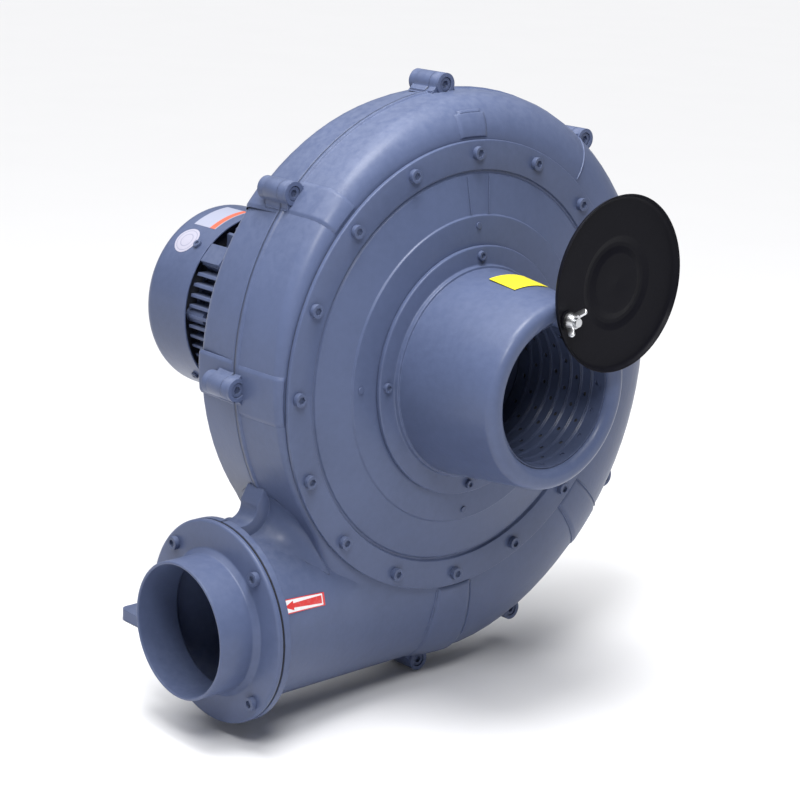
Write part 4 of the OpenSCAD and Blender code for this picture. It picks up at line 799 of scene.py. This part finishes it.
class BLOWER_OT_casing(bpy.types.Operator):
    """Smooth skins of both casing halves, with their boss fillets, raised fields, mould lines and crotch"""

    bl_idname = "blower.casing"
    bl_label = "Casing"

    def execute(self, context):
        sizes, colour = context.scene.blower_sizes, tuple(context.scene.blower_colours.paint)
        paint = sprayed_paint("Casing paint", colour, split=FAN_CENTRE[1])
        bare = sprayed_paint("Casting paint", colour)
        for node, skin in (("front_casing", "casing_front_skin"), ("rear_casing", "casing_rear_skin")):
            settle(welded_copy(node, skin, sharp=32), paint, "frame", "casing_paint", node)
        fillet, height = sizes.fillet / MM, sizes.ridge / MM
        flares = [boss_fillet("flare", a, -BOSS_GAP, BOSS_FRONT, fillet) for a in BOSS_ANGLES]
        flares += [boss_fillet("flare", a, BOSS_GAP, BOSS_BACK, fillet) for a in BOSS_ANGLES]
        settle(joined("boss_fillets", flares), bare, "frame", "casing_paint")
        fields = [raised_band("band", a, b, FIELD_START, FIELD_END, height) for a, b in FRONT_FIELDS]
        fields += [raised_band("pad", 85.6, 94.6, 0.70, FIELD_END, height),
                   raised_band("bar", 86.4, 93.4, 0.66, 0.72, height)]
        fields += [raised_band("band", a, b, FIELD_START, 0.9, height, side=1) for a, b in REAR_FIELDS]
        settle(joined("raised_fields", fields), paint, "frame", "casing_paint")
        lines = [mould_line("line", angle, start, LINE_END) for angle, start in MOULD_LINES]
        settle(joined("mould_lines", lines), bare, "frame", "casing_paint")
        crotch = [crotch_fillet("crotch"), tongue_web("web")]
        settle(joined("tongue_forms", crotch), bare, "frame", "casing_paint")
        return {"FINISHED"}


class BLOWER_OT_spinnings(bpy.types.Operator):
    """Cover, inlet duct, damper disc, outlet spigot and the rim of the cooling fan, with rounded edges"""

    bl_idname = "blower.spinnings"
    bl_label = "Spun pieces"

    def cover_line(self, angle):
        """A fine bead up the cover's slope."""
        start, end, slope = 150.5, 187.5, 0.158
        radial, around = directions(angle)
        r = np.linspace(start, end, 24)[:, None]
        path = r * radial + (COVER_FRONT + 0.05 + (r - start) * slope) * -FORWARD
        tilt = math.atan(slope)
        out = np.tile(math.sin(tilt) * radial + math.cos(tilt) * FORWARD, (len(r), 1))
        return bead("line", path, out, np.tile(around, (len(r), 1)), 0.9, 0.3)

    def execute(self, context):
        colours, turns = context.scene.blower_colours, context.scene.blower_sizes.turns
        cover = sprayed_paint("Cover paint", tuple(colours.cover), casting=0.00008, roughness=0.33, dust=0.04)
        black = sprayed_paint("Disc black", tuple(colours.disc), casting=0.00006, roughness=0.42, dust=0.01,
                              gloss=0.05)
        settle(spun("cover_skin", cover_profile(), turns), cover, "frame", "cover_paint", "cover_plate")
        lines = [self.cover_line(angle) for angle in (93.8, 85.1)]
        settle(joined("cover_lines", lines), cover, "frame", "cover_paint")

        pad_radius, pad_back = 8.5, -171.0
        pad = rounded([[STUD_BORE - 0.03, pad_back], [pad_radius, pad_back], [pad_radius, DUCT_END],
                       [STUD_BORE - 0.03, DUCT_END]], 0.8)
        duct = [spun("duct_skin", duct_profile(), turns), spun("pad", pad, 48, PIVOT)]
        settle(joined("duct_skin", duct), cover, "frame", "cover_paint", "inlet_duct")

        disc = spun("disc_skin", disc_profile(), turns, DISC_CENTRE)
        settle(disc, black, "damper", "disc_black", "damper_disc")

        spigot_paint = sprayed_paint("Spigot paint", tuple(colours.paint), casting=0.0001, roughness=0.36,
                                     dust=0.04)
        spigot = spun("spigot_skin", spigot_profile(), turns, (0, NECK_LEVEL), along="x")
        settle(spigot, spigot_paint, "frame", "casing_paint", "outlet_spigot")

        inner, outer, front, back = 71.0, 90.5, 272.2, 273.8
        rim = rounded([[inner, front], [outer, front], [outer, back], [inner, back]], 0.6)
        plastic = plain_finish("Fan plastic", (0.045, 0.05, 0.07), roughness=0.5, grain=1000.0, depth=0.00003)
        settle(spun("fan_rim", rim, turns), plastic, "rotor", "fan_plastic")
        return {"FINISHED"}


class BLOWER_OT_wing_nut(bpy.types.Operator):
    """Wing nut of the damper: a spun hub and two ears that lean outwards"""

    bl_idname = "blower.wing_nut"
    bl_label = "Wing nut"

    def ear(self, angle):
        """The outline round two circles, the root and the tip: in each heading, the one that reaches further."""
        out, side = directions(angle)
        way = np.linspace(0, 2 * np.pi, 72, endpoint=False)
        heading = np.stack([np.cos(way), np.sin(way)], -1)
        root, root_radius = np.array([6.0, 5.2]), 3.4
        tip, tip_radius = np.array([11.7, 10.9]), 3.2
        rooted = heading @ root + root_radius > heading @ tip + tip_radius
        outline = np.where(rooted[:, None], root + root_radius * heading, tip + tip_radius * heading)
        return plate("ear", outline, 2.8, 0.9, (out, FORWARD, side), np.array([PIVOT[0], WING_BASE, PIVOT[1]]))

    def execute(self, context):
        zinc = bright_metal("Zinc plate", tuple(context.scene.blower_colours.zinc), roughness=0.26)
        foot, shoulder, top, end = 8.2, 7.8, 6.2, WING_BASE - WING_HEIGHT
        hub = rounded([[STUD_BORE, WING_BASE], [foot, WING_BASE], [shoulder, WING_BASE - 3.2], [top, end],
                       [STUD_BORE, end]], 0.7)
        pieces = [spun("hub", hub, 64, PIVOT), self.ear(WING_ANGLE), self.ear(WING_ANGLE + 180)]
        settle(joined("wing_nut_skin", pieces), zinc, "wing", "zinc_steel", "wing_nut")
        return {"FINISHED"}


class BLOWER_OT_labels(bpy.types.Operator):
    """Arrow label by the outlet, sticker on the duct, and the bare label and round sticker on the fan cowl"""

    bl_idname = "blower.labels"
    bl_label = "Labels"

    def execute(self, context):
        sizes, colours = context.scene.blower_sizes, context.scene.blower_colours
        thick, length = sizes.film / MM, sizes.arrow_length / MM
        arrow = film("arrow_label", lambda u, v: neck_point(*arrow_place(u, v, length)),
                     lambda u, v: neck_normal(*arrow_place(u, v, length)), thick)
        settle(arrow, arrow_finish("Arrow label", tuple(colours.red)), "frame", "cover_paint")
        sticker = film("duct_sticker", duct_point, duct_normal, thick)
        settle(sticker, bare_label("Yellow sticker", tuple(colours.yellow)), "frame", "cover_paint")
        strip = film("cowl_label", lambda u, v: cowl_point(*strip_place(u, v)),
                     lambda u, v: cowl_point(strip_place(u, v)[0], 0 * v, 1.0), thick)
        settle(strip, stripe_finish("Cowl label"), "frame", "cover_paint")
        dot = film("cowl_sticker", lambda u, v: cowl_point(*round_place(u, v)),
                   lambda u, v: cowl_point(round_place(u, v)[0], 0 * v, 1.0), thick, across=12, along=64)
        settle(dot, ringed_finish("Round sticker"), "frame", "cover_paint")
        return {"FINISHED"}


class BLOWER_OT_finishes(bpy.types.Operator):
    """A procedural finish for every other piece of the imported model"""

    bl_idname = "blower.finishes"
    bl_label = "Finishes"

    def execute(self, context):
        colours = context.scene.blower_colours
        paint, cover = tuple(colours.paint), tuple(colours.cover)
        finishes = {
            "casing_paint": bpy.data.materials["Casing paint"],
            "cover_paint": bpy.data.materials["Cover paint"],
            "motor_paint": sprayed_paint("Motor paint", tone(paint, 0.92), casting=0.0004, roughness=0.46),
            "stand_paint": sprayed_paint("Stand paint", tone(paint, 0.95), casting=0.00005, roughness=0.42),
            "disc_black": bpy.data.materials["Disc black"],
            "painted_screw": sprayed_paint("Painted screws", tone(cover, 0.95), casting=0.00003, roughness=0.38),
            "zinc_steel": bpy.data.materials["Zinc plate"],
            "sheet_steel": sprayed_paint("Liner paint", tone(paint, 0.75), casting=0.00004, roughness=0.42,
                                         dust=0.03),
            "wheel_alloy": bright_metal("Impeller alloy", (0.52, 0.53, 0.55), roughness=0.38, scratch=0.00005),
            "shaft_steel": bright_metal("Ground steel", (0.50, 0.51, 0.53), roughness=0.22),
            "bearing_steel": bright_metal("Bearing steel", (0.66, 0.67, 0.69), roughness=0.12, scratch=0.00001,
                                          tarnish=0.1),
            "core_steel": bright_metal("Core laminations", (0.20, 0.21, 0.22), roughness=0.5, scratch=0.0001,
                                       tarnish=0.6),
            "winding_copper": plain_finish("Winding varnish", (0.32, 0.10, 0.035), roughness=0.35, grain=700.0,
                                           depth=0.0003, lift=1.8, metallic=0.6),
            "gasket_rubber": plain_finish("Gasket", (0.015, 0.015, 0.017), roughness=0.7),
            "foam": plain_finish("Foam", (0.035, 0.037, 0.042), roughness=0.95, grain=350.0, depth=0.0008,
                                 lift=2.2),
            "black_plastic": plain_finish("Black plastic", (0.012, 0.012, 0.014), roughness=0.45, grain=1200.0,
                                          depth=0.00003),
            "fan_plastic": bpy.data.materials["Fan plastic"],
            "cast_hub": plain_finish("Machined iron", (0.22, 0.225, 0.23), roughness=0.45, grain=600.0,
                                     depth=0.00004, lift=1.3, metallic=0.9),
        }
        special = {"cowl_screws": "painted_screw", "damper_washers": "disc_black"}
        for entry in frame["record"]["subparts"]:
            mesh = NODES[entry["node"]].data
            mesh.materials.clear()
            mesh.materials.append(finishes[special.get(entry["node"], entry["material_slot"])])
        return {"FINISHED"}


class BLOWER_OT_stage(bpy.types.Operator):
    """Pale floor, soft studio lights and the camera at the photograph's angle"""

    bl_idname = "blower.stage"
    bl_label = "Stage"

    def floor(self):
        """A wide pale floor just under the feet."""
        reach, drop = 200.0, -0.5 * MM
        side = np.array([-reach, reach])
        piece = grid_mesh("studio_floor", np.stack(np.meshgrid(side, side, [drop], indexing="ij"), -1)[:, :, 0])
        f = Finish("Studio floor", (0.82, 0.82, 0.83), 0.9)
        dusty = f.noise(f.place(), 3.0)
        f.feed(Base_Color=f.blend(dusty, (0.81, 0.81, 0.82), (0.83, 0.83, 0.84)))
        piece.data.materials.append(f.material)

    def lights(self, scene):
        """A broad sky from above and behind, a soft lamp overhead and one at the front left. Each entry: name,
        kind, place, power, and its width in degrees for the sky or metres for a lamp."""
        aim = Vector((0.0, -0.15, 0.32))
        entries = [("Back", "SUN", (-0.3, 0.2, 2.4), 3.0, 70.0),
                   ("Overhead", "AREA", (-0.25, -0.4, 1.6), 15.0, 0.6),
                   ("Front", "AREA", (-0.7, -0.95, 1.25), 9.0, 0.4)]
        for name, kind, place, power, size in entries:
            lamp = bpy.data.lights.new(name, kind)
            lamp.energy = power
            if kind == "SUN":
                lamp.angle = math.radians(size)
            else:
                lamp.shape, lamp.size = "DISK", size
            light = bpy.data.objects.new(name, lamp)
            light.location = place
            light.rotation_euler = (aim - Vector(place)).to_track_quat("-Z", "Y").to_euler()
            scene.collection.objects.link(light)

    def camera(self, scene):
        """The camera that was fitted to the photograph, by its place and its three directions."""
        right, up, back = (0.7391, -0.6721, 0.0442), (0.1447, 0.2226, 0.9641), (-0.6578, -0.7062, 0.2618)
        lens = bpy.data.cameras.new("Photo view")
        lens.sensor_width, lens.lens = 36.0, scene.blower_sizes.lens
        lens.clip_start, lens.clip_end = 0.05, 500.0
        camera = bpy.data.objects.new("Photo view", lens)
        turned = Matrix((right, up, back)).transposed().to_4x4()
        turned.translation = Vector((-1.3611, -1.6131, 0.8199))
        camera.matrix_world = turned
        scene.collection.objects.link(camera)
        scene.camera = camera

    def execute(self, context):
        scene = context.scene
        self.floor()
        scene.view_settings.view_transform = "Standard"
        world = bpy.data.worlds.new("Studio")
        world.use_nodes = True
        surround = world.node_tree.nodes["Background"].inputs
        surround["Color"].default_value, surround["Strength"].default_value = (0.97, 0.98, 1.0, 1.0), 0.22
        scene.world = world
        self.lights(scene)
        self.camera(scene)
        return {"FINISHED"}


class BLOWER_PT_panel(bpy.types.Panel):
    """Lists the sizes, the colours and the pieces"""

    bl_idname = "BLOWER_PT_panel"
    bl_label = "Turbo blower"
    bl_space_type = "VIEW_3D"
    bl_region_type = "UI"
    bl_category = "Blower"

    def draw(self, context):
        for group in (context.scene.blower_sizes, context.scene.blower_colours):
            for key in group.bl_rna.properties.keys():
                if key not in ("rna_type", "name"):
                    self.layout.prop(group, key)
        for operator in OPERATORS:
            self.layout.operator(operator.bl_idname)


OPERATORS = (BLOWER_OT_casing, BLOWER_OT_spinnings, BLOWER_OT_wing_nut, BLOWER_OT_labels, BLOWER_OT_finishes,
             BLOWER_OT_stage)
CLASSES = (BlowerSizes, BlowerColours, *OPERATORS, BLOWER_PT_panel)


def register():
    for cls in CLASSES:
        bpy.utils.register_class(cls)
    bpy.types.Scene.blower_sizes = PointerProperty(type=BlowerSizes)
    bpy.types.Scene.blower_colours = PointerProperty(type=BlowerColours)


def unregister():
    del bpy.types.Scene.blower_colours
    del bpy.types.Scene.blower_sizes
    for cls in reversed(CLASSES):
        bpy.utils.unregister_class(cls)


def main():
    register()
    bpy.ops.blower.casing()
    bpy.ops.blower.spinnings()
    bpy.ops.blower.wing_nut()
    bpy.ops.blower.labels()
    bpy.ops.blower.finishes()
    bpy.ops.blower.stage()


if __name__ == "__main__":
    main()
